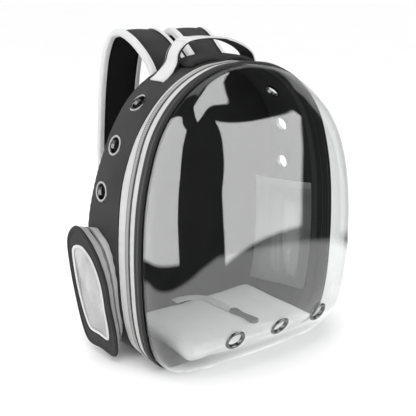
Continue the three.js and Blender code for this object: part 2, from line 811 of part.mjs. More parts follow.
function handlePath() {
  const foot = [0, 0.5, 1].map((share) => handleHalfSpan + handleFoot * (1 - share));
  const lift = fitGap + handleThickness * 1.5;
  const onTop = (x) => outlinePoint(topStation(x), lift, handleCentre);
  const free = handleRows.map((row) => new THREE.Vector3(
    row.along * handleHalfSpan, handleCentre, bodyHeight + row.lift * handleRise,
  ));
  const left = foot.slice(0, 2).map((x) => onTop(-x));
  const right = foot.slice(0, 2).reverse().map((x) => onTop(x));
  return spaced([...left, ...free, ...right], handleSteps);
}

function leashPath() {
  const height = matTop + fitGap + leashThickness / 2;
  return spaced(leashRows.map((row) => new THREE.Vector3(
    row.side * matHalfWidth, row.front * gussetDepth, height,
  )), leashSteps);
}

function clipGeometry() {
  const half = clipWidth / 2;
  const shape = new THREE.Shape();
  shape.absarc(0, 0, half, Math.PI / 2, Math.PI * 1.5, false);
  shape.lineTo(clipLength * clipNeckShare, -clipNeckWidth / 2);
  shape.absarc(clipLength - half, 0, half, -Math.PI / 2, Math.PI / 2, false);
  shape.lineTo(clipLength * clipNeckShare, clipNeckWidth / 2);
  const eye = new THREE.Path();
  eye.absarc(0, 0, clipEyeRadius, 0, Math.PI * 2, true);
  shape.holes.push(eye);
  return new THREE.ExtrudeGeometry(shape, {
    depth: clipThickness, bevelEnabled: false, curveSegments: clipSteps,
  });
}

const strapRootBack = backLine(strapRowHeight(strapRows[0])) + strapThickness / 2
  + strapEdgeThickness + strapRootGap;

function strapRowHeight(row) {
  return row.height * strapTop;
}

function strapPoint(row) {
  return new THREE.Vector3(
    row.spread * strapSpread, strapRootBack + row.back * strapReach, strapRowHeight(row),
  );
}

function strapPath() {
  const first = strapRows[0];
  const low = strapRowHeight(first) - strapRootLength;
  const rootBack = strapRootBack + backLine(low) - backLine(strapRowHeight(first));
  const strapRoot = new THREE.Vector3(first.spread * strapSpread, rootBack, low);
  return spaced([strapRoot, ...strapRows.map(strapPoint)], strapSteps);
}

function strapEdgeSection(side) {
  const outer = strapWidth / 2 + strapEdgeThickness + fitGap;
  const inner = strapWidth / 2 + fitGap;
  const cover = strapWidth / 2 - strapEdgeCover;
  const lid = strapThickness / 2 + fitGap;
  const top = lid + strapEdgeThickness;
  return [
    [cover, lid], [cover, top], [outer, top], [outer, -top],
    [cover, -top], [cover, -lid], [inner, -lid], [inner, lid],
  ].map(([s, n]) => [side * s, n]);
}

function strapWebPath() {
  const free = strapWebRows.map(strapPoint);
  const last = free[free.length - 1];
  const lift = fitGap + strapWebThickness;
  const foot = [strapWebTail * 0.4, strapWebTail].map((drop) => (
    new THREE.Vector3(last.x, backLine(last.z - drop) + lift, last.z - drop)
  ));
  return spaced([...free, ...foot], webSteps);
}

function adjusterGeometry(length) {
  const outer = new THREE.Shape();
  const w = strapWebWidth / 2 + adjusterBar;
  const h = length / 2 - adjusterGap;
  outer.moveTo(-w, -h).lineTo(w, -h).lineTo(w, h).lineTo(-w, h).lineTo(-w, -h);
  const slot = new THREE.Path();
  const sw = w - adjusterBar + adjusterBite;
  const sh = h - adjusterBar + adjusterBite;
  slot.moveTo(-sw, -sh).lineTo(-sw, sh).lineTo(sw, sh).lineTo(sw, -sh).lineTo(-sw, -sh);
  outer.holes.push(slot);
  const geometry = new THREE.ExtrudeGeometry(outer, { depth: adjusterThickness, bevelEnabled: false });
  return geometry.translate(0, 0, -adjusterThickness / 2);
}

// Puts the adjuster between the strap's end and its webbing, on the side of the given sign.
function placeAdjuster(mesh, strapEnd, webStart, sign) {
  const flip = new THREE.Vector3(sign, 1, 1);
  const [top, bottom] = [strapEnd, webStart].map((end) => end.clone().multiply(flip));
  const along = bottom.clone().sub(top).normalize();
  const up = new THREE.Vector3(1, 0, 0).cross(along).normalize();
  const across = along.clone().cross(up);
  mesh.quaternion.setFromRotationMatrix(new THREE.Matrix4().makeBasis(across, along, up));
  mesh.position.lerpVectors(top, bottom, 0.5);
}

// Assembly
const gussetShell = gussetHoop();
const eyeletSeats = [
  { side: 'left', seats: sideEyeletSeats(gussetShell, -1) },
  { side: 'right', seats: sideEyeletSeats(gussetShell, 1) },
];
const gussetCutters = [
  ...eyeletSeats.flatMap(({ seats }) => seats.map((seat) => eyeletHole(seat, clothWall))),
  windowHole(-1), windowHole(1),
];
const shell = addGroup();
addMesh(shell, 'gusset', cutAway(gussetShell, gussetCutters), colours.blackCloth);
addMesh(shell, 'back_panel', backPanelGeometry(), colours.blackCloth);
addMesh(shell, 'top_pad', topPadGeometry(), colours.blackCloth);

const zipBand = addGroup();
const rearTape = tapeHoop(rearTapeFront, (z) => frontLine(z) - fitGap, 0);
const zipCoil = tapeHoop(coilFront, () => coilFront + coilWidth, tapeInset);
const frontTape = tapeHoop(frontTapeFront, () => frontTapeFront + frontTapeWidth, 0);
addMesh(zipBand, 'main_tape_rear', rearTape, colours.greyTape);
addMesh(zipBand, 'main_zip_coil', zipCoil, colours.coil);
addMesh(zipBand, 'main_tape_front', frontTape, colours.greyTape);
addMesh(zipBand, 'rim_binding', bindingHoop(), colours.binding);

const dome = addGroup();
const bubbleShell = bubbleGeometry();
const bubbleSeats = [-bubbleEyeletSpacing, 0, bubbleEyeletSpacing].map((x) => {
  const from = new THREE.Vector3(x, rimFront - bubbleDepth * 3, bubbleEyeletHeight);
  return seatOn(bubbleShell, from, new THREE.Vector3(0, 1, 0));
});
const bubbleCutters = bubbleSeats.map((seat) => eyeletHole(seat, bubbleWall * 2));
addMesh(dome, 'bubble', cutAway(bubbleShell, bubbleCutters), colours.clear);
bubbleSeats.forEach((seat, i) => {
  placeOnSeat(addMesh(dome, `bubble_eyelet_${i + 1}`, eyeletGeometry(bubbleWall), colours.metal), seat);
});
for (const { side, seats } of eyeletSeats) {
  seats.forEach((seat, i) => {
    const name = `side_eyelet_${side}_${i + 1}`;
    placeOnSeat(addMesh(shell, name, eyeletGeometry(clothWall), colours.metal), seat);
  });
}

for (const [name, side] of [['left', -1], ['right', 1]]) {
  const window = addGroup();
  for (const { part, from, to, look } of sleeveRows) {
    addMesh(window, `window_${part}_${name}`, windowSleeve(side, from, to), colours[look]);
  }
  addMesh(window, `window_frame_${name}`, windowFrame(side), colours.blackCloth);
  addMesh(window, `window_net_${name}`, windowNetSheet(side), colours.net);
}

const cabin = addGroup();
addMesh(cabin, 'inner_pocket', pocketGeometry(), colours.net);
addMesh(cabin, 'floor_mat', matGeometry(), colours.mat);
const leash = leashPath();
const leashEnd = leash[leash.length - 1];
const leashAlong = leashEnd.clone().sub(leash[leash.length - 2]).setZ(0).normalize();
const leashSide = new THREE.Vector3(0, 0, 1).cross(leashAlong);
const leashSection = flatSection(leashWidth, -leashThickness / 2, leashThickness / 2);
addMesh(cabin, 'leash_web', sweep(leash, leashSide, leashSection), colours.webbing);
const clip = addMesh(cabin, 'leash_clip', clipGeometry(), colours.plastic);
clip.rotation.z = Math.atan2(leashAlong.y, leashAlong.x);
clip.position.copy(leashEnd).addScaledVector(leashAlong, clipWidth / 2 + fitGap * 2).setZ(matTop + fitGap);

const grabHandle = addGroup();
const handle = handlePath();
const handleSide = new THREE.Vector3(0, -1, 0);
const backingSection = flatSection(handleWidth, -handleThickness * 1.5, -handleThickness / 2 - fitGap);
const handleWebWidth = handleWidth - handleBackingMargin * 2;
const webSection = flatSection(handleWebWidth, -handleThickness / 2, handleThickness / 2);
addMesh(grabHandle, 'handle_backing', sweep(handle, handleSide, backingSection), colours.blackCloth);
addMesh(grabHandle, 'handle_web', sweep(handle, handleSide, webSection), colours.webbing);

// The right shoulder strap is modelled, and the left one is its mirror image.
const strapLine = strapPath();
const strapWebLine = strapWebPath();
const [strapEnd, webStart] = [strapLine[strapLine.length - 1], strapWebLine[0]];
const strapPadSection = flatSection(strapWidth, -strapThickness / 2, strapThickness / 2);
const strapWebSection = flatSection(strapWebWidth, -strapWebThickness / 2, strapWebThickness / 2);
const strapPieces = [
  ['strap_pad', strapLine, strapPadSection, 'blackCloth'],
  ['strap_binding_outer', strapLine, strapEdgeSection(1), 'webbing'],
  ['strap_binding_inner', strapLine, strapEdgeSection(-1), 'webbing'],
  ['strap_web', strapWebLine, strapWebSection, 'webbing'],
];
for (const [side, sign] of [['right', 1], ['left', -1]]) {
  const strap = addGroup();
  for (const [name, line, section, look] of strapPieces) {
    const geometry = sweep(line, new THREE.Vector3(1, 0, 0), section);
    addMesh(strap, `${name}_${side}`, sign > 0 ? geometry : mirrored(geometry), colours[look]);
  }
  const frame = adjusterGeometry(strapEnd.distanceTo(webStart));
  const adjuster = addMesh(strap, `strap_adjuster_${side}`, frame, colours.plastic);
  placeAdjuster(adjuster, strapEnd, webStart, sign);
}

export default bag;
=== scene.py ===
import math

import bpy
import numpy as np
from mathutils import Matrix, Vector, noise


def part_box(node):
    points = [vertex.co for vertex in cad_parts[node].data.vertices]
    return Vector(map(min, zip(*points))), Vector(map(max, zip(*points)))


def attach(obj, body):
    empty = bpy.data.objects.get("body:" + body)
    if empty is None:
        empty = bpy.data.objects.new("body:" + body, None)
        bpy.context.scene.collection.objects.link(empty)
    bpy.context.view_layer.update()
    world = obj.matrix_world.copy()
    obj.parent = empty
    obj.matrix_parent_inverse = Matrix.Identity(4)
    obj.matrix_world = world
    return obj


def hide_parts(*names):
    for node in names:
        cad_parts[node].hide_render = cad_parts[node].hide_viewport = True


# A backpack for a small pet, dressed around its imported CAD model. Metres, in the CAD's own frame:
# the dome faces -Y, the worn side faces +Y, and the floor is at Z = 0.
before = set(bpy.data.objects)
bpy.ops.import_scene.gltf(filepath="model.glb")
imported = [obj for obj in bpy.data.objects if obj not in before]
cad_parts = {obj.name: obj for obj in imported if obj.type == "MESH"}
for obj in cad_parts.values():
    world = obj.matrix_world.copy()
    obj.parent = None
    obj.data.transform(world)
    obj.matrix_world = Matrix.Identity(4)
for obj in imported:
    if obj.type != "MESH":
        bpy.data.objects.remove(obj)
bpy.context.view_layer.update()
print("stage: frame loaded")

# Camera, at the photograph's angle
camera = {
    "place": (-0.5887, -0.7934, 0.4501),
    "looksAlong": (0.5789, 0.7682, -0.2735),
    "lens": 63.92,
    "sensor": 36.0,
}


def makeCamera():
    data = bpy.data.cameras.new("camera")
    data.lens = camera["lens"]
    data.sensor_width = camera["sensor"]
    data.clip_start, data.clip_end = 0.05, 500
    made = bpy.data.objects.new("camera", data)
    made.location = camera["place"]
    made.rotation_euler = Vector(camera["looksAlong"]).to_track_quat("-Z", "Y").to_euler()
    bpy.context.scene.collection.objects.link(made)
    bpy.context.scene.camera = made


makeCamera()

# The sizes that the pieces share, as the CAD has them
body = {
    "width": 0.320,
    "height": 0.375,
    "front": -0.040,
    "back": 0.040,
    "topBack": 0.014,
    "topFront": -0.052,
    "wall": 0.003,
    "backRound": 0.006,
    "lip": 0.0045,
    "gap": 0.0003,
    "backLean": (0.40, 0.83),
    "frontLean": (0.60, 0.90),
}
outlineRows = [  # spread is a share of half the width, rise a share of the height
    (0.000, 0.000), (0.360, 0.000), (0.700, 0.000), (0.790, 0.005), (0.850, 0.021), (0.915, 0.059),
    (0.955, 0.110), (0.985, 0.190), (1.000, 0.300), (0.999, 0.420), (0.972, 0.560), (0.920, 0.670),
    (0.825, 0.787), (0.685, 0.874), (0.500, 0.940), (0.260, 0.985), (0.000, 1.000),
]
stationCount = 480


# Lines and curves
def curveThrough(points, shares, closed=False):
    p = np.array(points, float)
    count = len(p)
    spans = count if closed else count - 1
    made = []
    for share in shares:
        i = min(int(share * spans), spans - 1)
        w = share * spans - i
        before = p[i - 1] if closed or i > 0 else 2 * p[0] - p[1]
        after = p[(i + 2) % count] if closed or i + 2 < count else 2 * p[-1] - p[-2]
        a, b, c, d = before, p[i], p[(i + 1) % count], after
        dt0, dt1, dt2 = (max(np.linalg.norm(v) ** 0.5, 1e-6) for v in (b - a, c - b, d - c))
        t1 = ((b - a) / dt0 - (c - a) / (dt0 + dt1) + (c - b) / dt1) * dt1
        t2 = ((c - b) / dt1 - (d - b) / (dt1 + dt2) + (d - c) / dt2) * dt1
        made.append(b + t1 * w + (3 * (c - b) - 2 * t1 - t2) * w ** 2 + (2 * (b - c) + t1 + t2) * w ** 3)
    return np.array(made)


def lengthsAlong(line):
    return np.r_[0, np.cumsum(np.linalg.norm(np.diff(line, axis=0), axis=1))]


def evenly(line, count):
    lengths = lengthsAlong(line)
    at = np.linspace(0, lengths[-1], count)
    return np.stack([np.interp(at, lengths, line[:, k]) for k in range(line.shape[1])], 1)


def ringed(line):
    return np.vstack([line, line[:1]])


def smooth(value, low, high):
    t = np.clip((np.asarray(value, float) - low) / (high - low), 0, 1)
    return t * t * (3 - 2 * t)


def hump(value, centre, width):
    return np.exp(-((value - centre) / width) ** 2)


halfLine = evenly(
    curveThrough(np.array(outlineRows) * (body["width"] / 2, body["height"]), np.linspace(0, 1, 900)),
    stationCount // 2 + 1,
)
halfLine[:, 1] = np.maximum(0, halfLine[:, 1])
outline = np.vstack([halfLine, halfLine[-2:0:-1] * (-1, 1)])
outlineTurn = np.roll(outline, -1, 0) - np.roll(outline, 1, 0)
outlineTurn /= np.linalg.norm(outlineTurn, axis=1, keepdims=True)
outlineNormal = np.stack([outlineTurn[:, 1], -outlineTurn[:, 0]], 1)
outlineLength = lengthsAlong(ringed(outline))[:-1]
heights = outline[:, 1]


def lean(z, foot, head, shares):
    # A depth that goes from its foot's to its head's between two shares of the height
    return foot - (foot - head) * smooth(np.asarray(z) / body["height"], *shares)


def backLine(z):
    return lean(z, body["back"], body["topBack"], body["backLean"])


def frontLine(z):
    return lean(z, body["front"], body["topFront"], body["frontLean"])


def halfWidthAt(z, inset=0.0):
    z = np.clip(z, 0.0002, body["height"] - 0.0002)
    return np.interp(z, halfLine[:, 1], halfLine[:, 0]) - inset


widest = int(np.argmax(halfLine[:, 0]))


def topAt(x):
    return np.interp(np.abs(x), halfLine[widest:, 0][::-1], halfLine[widest:, 1][::-1])


def ripple(points, size, depth, seed=0.0):
    shift = Vector((seed, seed * 1.7, -seed))
    return np.array([depth * noise.noise(Vector(p) / size + shift) for p in points])


# Meshes
def only(piece):
    if bpy.context.object and bpy.context.object.mode != "OBJECT":
        bpy.ops.object.mode_set(mode="OBJECT")
    bpy.ops.object.select_all(action="DESELECT")
    piece.select_set(True)
    bpy.context.view_layer.objects.active = piece


def link(piece):
    bpy.context.scene.collection.objects.link(piece)


def editAll(piece, *steps):
    only(piece)
    bpy.ops.object.mode_set(mode="EDIT")
    bpy.ops.mesh.select_all(action="SELECT")
    for step in steps:
        step()
    bpy.ops.object.mode_set(mode="OBJECT")


def mergeDoubles():
    bpy.ops.mesh.remove_doubles(threshold=0.00001)


def faceOut():
    bpy.ops.mesh.normals_make_consistent(inside=False)


def newPiece(name, vertices, faces, uv=None):
    mesh = bpy.data.meshes.new(name)
    mesh.from_pydata([tuple(v) for v in vertices], [], [tuple(f) for f in faces])
    if uv is not None:
        layer = mesh.uv_layers.new(name="Along")
        layer.data.foreach_set("uv", np.array(uv, np.float32).ravel())
    piece = bpy.data.objects.new(name, mesh)
    link(piece)
    return piece


def modify(piece, kind, **settings):
    only(piece)
    modifier = piece.modifiers.new(kind, kind)
    for key, value in settings.items():
        setattr(modifier, key, value)
    bpy.ops.object.modifier_apply(modifier=modifier.name)


def corners(piece):
    co = np.zeros(len(piece.data.vertices) * 3, np.float32)
    piece.data.vertices.foreach_get("co", co)
    return co.reshape(-1, 3).astype(float)


def setCorners(piece, points):
    piece.data.vertices.foreach_set("co", np.asarray(points, np.float32).ravel())
    piece.data.update()


def loft(name, rings, closedAlong=False, closedAcross=True, capped=False):
    # Skins the rings of points, and maps u across and v along in metres.
    rings = np.array(rings, float)
    count, across = rings.shape[:2]
    index = np.arange(count * across).reshape(count, across)
    i, j = np.meshgrid(
        range(count if closedAlong else count - 1),
        range(across if closedAcross else across - 1),
        indexing="ij",
    )
    i, j = i.ravel(), j.ravel()
    nextI, nextJ = (i + 1) % count, (j + 1) % across
    faces = np.stack([index[i, j], index[nextI, j], index[nextI, nextJ], index[i, nextJ]], 1).tolist()
    middle = rings.mean(1)
    v = lengthsAlong(ringed(middle))
    steps = np.linalg.norm(np.roll(rings, -1, 1) - rings, axis=2).mean(0)
    u = np.r_[0, np.cumsum(steps)]
    uv = np.stack([np.stack([u[a], v[b]], 1) for a, b in ((j, i), (j, i + 1), (j + 1, i + 1), (j + 1, i))], 1)
    uv = uv.reshape(-1, 2)
    if capped:
        faces += [index[0, ::-1].tolist(), index[-1].tolist()]
        flat = np.stack([u[:-1], np.zeros(across)], 1)
        uv = np.vstack([uv, flat[::-1], flat])
    piece = newPiece(name, rings.reshape(-1, 3), faces, uv)
    if closedAcross and (capped or closedAlong):
        editAll(piece, faceOut)
    return piece


def hoopRings(section):
    # Each row of the section is how far it stands out from the outline, and its Y.
    out, y = ([np.broadcast_to(row[k], stationCount) for row in section] for k in (0, 1))
    out, y = np.stack(out, 1), np.stack(y, 1)
    x = outline[:, :1] + outlineNormal[:, :1] * out
    z = np.maximum(0, outline[:, 1:] + outlineNormal[:, 1:] * out)
    return np.stack([x, y, z], 2)


def sweepRings(path, side, section):
    # The section's rows are across and up; side is the direction of the width.
    path = np.array(path, float)
    along = np.gradient(path, axis=0)
    along /= np.linalg.norm(along, axis=1, keepdims=True)
    up = np.cross(np.broadcast_to(side, path.shape), along)
    up /= np.linalg.norm(up, axis=1, keepdims=True)
    across = np.cross(along, up)
    section = np.broadcast_to(np.array(section, float), (len(path), *np.shape(section)[-2:]))
    return path[:, None] + across[:, None] * section[..., :1] + up[:, None] * section[..., 1:]


def roundedStrip(width, thickness, points=5):
    # A flat section with half-round edges
    half = width / 2 - thickness / 2
    turn = np.linspace(-90, 90, points) * math.pi / 180
    right = [(half + math.cos(a) * thickness / 2, math.sin(a) * thickness / 2) for a in turn]
    left = [(-x, -z) for x, z in right]
    flat = [half * s for s in (0.66, 0.33, 0.0, -0.33, -0.66)]
    return right + [(x, thickness / 2) for x in flat] + left + [(-x, -thickness / 2) for x in flat]


def scatter(name, shape, faces, places, rights, ups):
    # One small shape, set down at each place and turned to its own right, up and forward directions
    forwards = np.cross(rights, ups)
    shape = np.array(shape, float)
    points = places[:, None] + sum(
        shape[None, :, k:k + 1] * axis[:, None] for k, axis in enumerate((rights, forwards, ups))
    )
    offsets = np.arange(len(places))[:, None, None] * len(shape)
    return newPiece(name, points.reshape(-1, 3), (np.array(faces)[None] + offsets).reshape(-1, len(faces[0])))


beadShape = [(x, y, z) for x in (-0.5, 0.5) for y, z in (
    (-0.32, 0), (-0.5, 0.35), (-0.32, 0.7), (0, 0.85), (0.32, 0.7), (0.5, 0.35), (0.32, 0), (0, -0.1))]
beadFaces = [(k, (k + 1) % 8, 8 + (k + 1) % 8, 8 + k) for k in range(8)] + [
    (3, 2, 1, 4), (1, 0, 5, 4), (0, 7, 6, 5), (12, 9, 10, 11), (12, 13, 8, 9), (13, 14, 15, 8)]


def beads(name, line, out, size, pitch, material, slot):
    # Small rounded bars in a row along a line: zip teeth or stitches. Size is across, along and up.
    lengths = lengthsAlong(line)
    count = int(lengths[-1] / pitch)
    at = (np.arange(count) + 0.5) * lengths[-1] / count
    places, outs = (
        np.stack([np.interp(at, lengths, values[:, k]) for k in range(3)], 1) for values in (line, out)
    )
    outs /= np.linalg.norm(outs, axis=1, keepdims=True)
    along = np.gradient(places, axis=0)
    along -= outs * (along * outs).sum(1, keepdims=True)
    along /= np.linalg.norm(along, axis=1, keepdims=True)
    rights = np.cross(along, outs)
    piece = scatter(name, np.array(beadShape) * size, beadFaces, places, rights, outs)
    editAll(piece, faceOut)
    return dress(piece, material, slot)


def dress(piece, material, slot, *nodes, angle=40):
    piece.data.materials.clear()
    piece.data.materials.append(material)
    only(piece)
    bpy.ops.object.shade_smooth_by_angle(angle=math.radians(angle))
    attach(piece, "root")
    if nodes:
        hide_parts(*nodes)
    return piece


def duplicate(piece, name):
    twin = piece.copy()
    twin.data = piece.data.copy()
    twin.name = name
    twin.parent = None
    for key in list(twin.keys()):
        del twin[key]
    link(twin)
    return twin


def copyOf(node, name):
    piece = duplicate(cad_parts[node], name)
    editAll(piece, mergeDoubles)
    return piece


# Materials
class Shade:  # wraps one socket of a material, with arithmetic
    def __init__(self, tree, socket=None):
        self.tree = tree
        self.socket = socket

    def node(self, kind, inputs=None, output=0, **settings):
        made = self.tree.nodes.new("ShaderNode" + kind)
        for key, value in settings.items():
            setattr(made, key, value)
        for key, value in (inputs or {}).items():
            if isinstance(value, Shade):
                self.tree.links.new(value.socket, made.inputs[key])
            else:
                made.inputs[key].default_value = value
        return Shade(self.tree, made.outputs[output] if made.outputs else None)

    def maths(self, operation, first, second=0.0, clamp=False):
        return self.node("Math", {0: first, 1: second}, operation=operation, use_clamp=clamp)

    def __add__(self, other):
        return self.maths("ADD", self, other)

    def __sub__(self, other):
        return self.maths("SUBTRACT", self, other)

    def __rsub__(self, other):
        return self.maths("SUBTRACT", other, self)

    def __mul__(self, other):
        return self.maths("MULTIPLY", self, other)

    def __pow__(self, other):
        return self.maths("POWER", self, other)

    __radd__ = __add__
    __rmul__ = __mul__

    def wave(self, pitch):
        return self.maths("SINE", self * (2 * math.pi / pitch))

    def size(self):
        return self.maths("ABSOLUTE", self)

    def above(self, level):
        return self.maths("GREATER_THAN", self, level)

    def clamped(self):
        return self.maths("MULTIPLY", self, 1.0, clamp=True)

    def axis(self, name):
        return self.node("SeparateXYZ", {0: self}, output="XYZ".index(name))


def grey(level):
    return (level, level, level, 1)


def blend(share, dark, pale):
    # A grey between two levels
    return share.node("Mix", {0: share, 6: grey(dark), 7: grey(pale)}, output=2, data_type="RGBA")


def makeMaterial(name, paint):
    material = bpy.data.materials.new(name)
    material.use_nodes = True
    material.node_tree.nodes.clear()
    start = Shade(material.node_tree)
    start.node("OutputMaterial", {0: paint(start)})
    return material


def clothSurface(start, colour, rough, height, lift, **constants):
    bump = start.node("Bump", {"Strength": 0.8, "Distance": lift, "Height": height})
    inputs = {"Base Color": colour, "Roughness": rough, "Normal": bump}
    return start.node("BsdfPrincipled", inputs | constants)


def noisy(start, scale, detail=3.0):
    place = start.node("TexCoord", output=3)
    return start.node("TexNoise", {"Vector": place, "Scale": scale, "Detail": detail})


def threads(start, pitch, mapped):
    # Over and under: mapped pieces follow their own length, others the object's three axes.
    if mapped:
        place = start.node("UVMap", uv_map="Along")
        return place.axis("X").wave(pitch) * place.axis("Y").wave(pitch)
    place = start.node("TexCoord", output=3)
    x, y, z = (place.axis(name).wave(pitch) for name in "XYZ")
    return x * y + y * z + z * x


def woven(dark, pale, pitch, lift, rough=0.85, mapped=True, patch=22.0, sheen=0.05):
    def paint(start):
        weave = threads(start, pitch, mapped)
        worn = noisy(start, patch)
        share = (0.25 * weave + 0.9 * worn + noisy(start, 900.0) * 0.3 - 0.15).clamped()
        colour = blend(share, dark, pale)
        roughness = rough - 0.1 * worn
        constants = {"Sheen Weight": sheen, "Sheen Roughness": 0.5, "Specular IOR Level": 0.25}
        return clothSurface(start, colour, roughness, weave, lift, **constants)
    return paint


def ribbed(dark, pale, pitch, lift, rough=0.7, twill=0.0):
    # Ribs across a tape's length; twill slants them in a zigzag.
    def paint(start):
        place = start.node("UVMap", uv_map="Along")
        u, v = place.axis("X"), place.axis("Y")
        slant = u.wave(0.012).size() * twill if twill else u * 0.0
        ribs = (v + slant).wave(pitch)
        cross = u.wave(pitch * 0.8)
        height = ribs * 0.7 + cross * 0.3
        share = (0.45 + 0.22 * height + 0.35 * noisy(start, 60.0)).clamped()
        constants = {"Sheen Weight": 0.05, "Specular IOR Level": 0.25}
        return clothSurface(start, blend(share, dark, pale), rough, height, lift, **constants)
    return paint


netPitch = 0.0030


def net(openShare, pale, glow):
    # Round holes in a staggered net, whose threads let some light through
    def paint(start):
        place = start.node("UVMap", uv_map="Along")
        u, v = place.axis("X"), place.axis("Y")
        cells = u.wave(netPitch) * v.wave(netPitch)
        hole = cells.size().above(1 - openShare)
        # The darker patches are painted shade, standing in for the shading in the net's creases.
        colour = blend((3.2 * noisy(start, 26.0) - 1.1).clamped(), pale * 0.66, pale)
        cloth = clothSurface(start, colour, 0.9 - 0.1 * noisy(start, 15.0), cells, 0.0002)
        lit = start.node("BsdfTranslucent", {"Color": grey(pale)})
        threads = start.node("MixShader", {0: glow, 1: cloth, 2: lit})
        return start.node("MixShader", {0: hole, 1: threads, 2: start.node("BsdfTransparent")})
    return paint


def clearPlastic(start):
    # Mirrors a little where it is seen square on, and nearly all at its edges
    haze = noisy(start, 6.0)
    mirror = start.node("BsdfGlossy", {"Color": grey(1), "Roughness": 0.012 + 0.02 * haze})
    through = start.node("BsdfTransparent", {"Color": (0.955, 0.96, 0.96, 1)})
    facing = start.node("LayerWeight", {"Blend": 0.5}, output=1)
    share = 0.075 + 0.925 * facing ** 5.0
    return start.node("MixShader", {0: share, 1: through, 2: mirror})


def chrome(start):
    scuff = noisy(start, 300.0)
    inputs = {"Base Color": blend(scuff, 0.11, 0.17), "Metallic": 1.0, "Roughness": 0.14 + 0.12 * scuff}
    return start.node("BsdfPrincipled", inputs)


def plastic(dark, pale, rough):
    def paint(start):
        grain = noisy(start, 700.0, 2.0)
        return clothSurface(start, blend(grain, dark, pale), rough + 0.1 * grain, grain, 0.00008)
    return paint


def fleece(start):
    pile = noisy(start, 420.0, 6.0)
    tufts = noisy(start, 60.0, 4.0)
    share = (0.55 * pile + 0.5 * tufts).clamped()
    height = pile * 0.7 + tufts
    return clothSurface(start, blend(share, 0.60, 0.76), 0.95 - 0.05 * pile, height, 0.0008,
                        **{"Sheen Weight": 0.2, "Specular IOR Level": 0.2})


def airMesh(start):
    place = start.node("TexCoord", output=3)
    x, z = place.axis("X"), place.axis("Z")
    cells = x.wave(0.0042) * z.wave(0.0042)
    share = (0.3 + 0.4 * cells + 0.3 * noisy(start, 30.0)).clamped()
    return clothSurface(start, blend(share, 0.010, 0.026), 0.85 - 0.1 * share, cells, 0.0006)


blackCloth = makeMaterial("black_cloth", woven(0.011, 0.024, 0.0011, 0.00018))
blackLoose = makeMaterial("black_cloth_padded", woven(0.007, 0.018, 0.0011, 0.00018, mapped=False))
# A darker black, painted shade for faces turned away from the light: the straps' undersides and the back
# panel's face towards the cabin.
blackClothShaded = makeMaterial("black_cloth_painted_shade", woven(0.004, 0.010, 0.0011, 0.00012, sheen=0.0))
sleeveTape = makeMaterial("sleeve_tape", ribbed(0.26, 0.38, 0.0012, 0.00016))
bindingCloth = makeMaterial("binding_cloth", ribbed(0.006, 0.020, 0.0014, 0.0002, 0.5))
greyTape = makeMaterial("grey_tape", woven(0.42, 0.56, 0.0009, 0.00016, patch=35.0))
# Dark zip cloth: beside the teeth its colour is painted shade, the shadow lines of the grooves, which are
# also sunk in its shape.
zipCloth = makeMaterial("zip_cloth", ribbed(0.03, 0.055, 0.0012, 0.0002))
zipTeeth = makeMaterial("zip_teeth", plastic(0.26, 0.36, 0.35))
clearDome = makeMaterial("clear_dome", clearPlastic)
eyeletMetal = makeMaterial("eyelet_metal", chrome)
windowNet = makeMaterial("window_net", net(0.28, 0.80, 0.42))
pocketNet = makeMaterial("pocket_net", net(0.42, 0.90, 0.85))
matFleece = makeMaterial("mat_cloth", fleece)
webbing = makeMaterial("light_webbing", ribbed(0.56, 0.76, 0.0015, 0.00022, 0.8, twill=0.35))
threadLight = makeMaterial("thread_light", plastic(0.45, 0.55, 0.7))
threadDark = makeMaterial("thread_dark", plastic(0.03, 0.05, 0.6))
blackPlastic = makeMaterial("black_plastic", plastic(0.018, 0.03, 0.4))
greyPlastic = makeMaterial("grey_plastic", plastic(0.05, 0.08, 0.4))
paddedBack = makeMaterial("padded_back", airMesh)
print("stage: materials")

# Leash on the cushion: its route repeats the CAD's points, in metres.
leash = {"width": 0.015, "thick": 0.0016, "side": 0.112, "front": 0.080}
leashRows = [(-0.30, 0.30), (-0.14, 0.29), (0.00, 0.21), (0.08, 0.06), (0.10, -0.25), (0.11, -0.62)]


def makeLeash():
    low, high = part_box("leash_web")
    height = (low.z + high.z) / 2
    points = [(side * leash["side"], front * leash["front"], height) for side, front in leashRows]
    path = evenly(curveThrough(points, np.linspace(0, 1, 300)), 60)
    along = path[-1] - path[-2]
    side = np.cross((0, 0, 1), along / np.linalg.norm(along))
    rings = sweepRings(path, side, roundedStrip(leash["width"], leash["thick"]))
    piece = loft("leash_webbing", rings, capped=True)
    dress(piece, webbing, "light_webbing", "leash_web")
    clip = copyOf("leash_clip", "leash_hook")
    modify(clip, "BEVEL", width=0.0009, segments=3, limit_method="ANGLE")
    dress(clip, greyPlastic, "black_plastic", "leash_clip")
    lengthsAlong(path)[-1]


makeLeash()
print("stage: leash")

# Body cloth
gusset = {
    "crown": 0.0010, "folds": 0.0009, "foldSize": 0.045, "pucker": 0.00022, "puckerPitch": 0.0105,
    "acrossSteps": 12, "windowReach": 0.036, "eyeletCut": 0.0112,
}


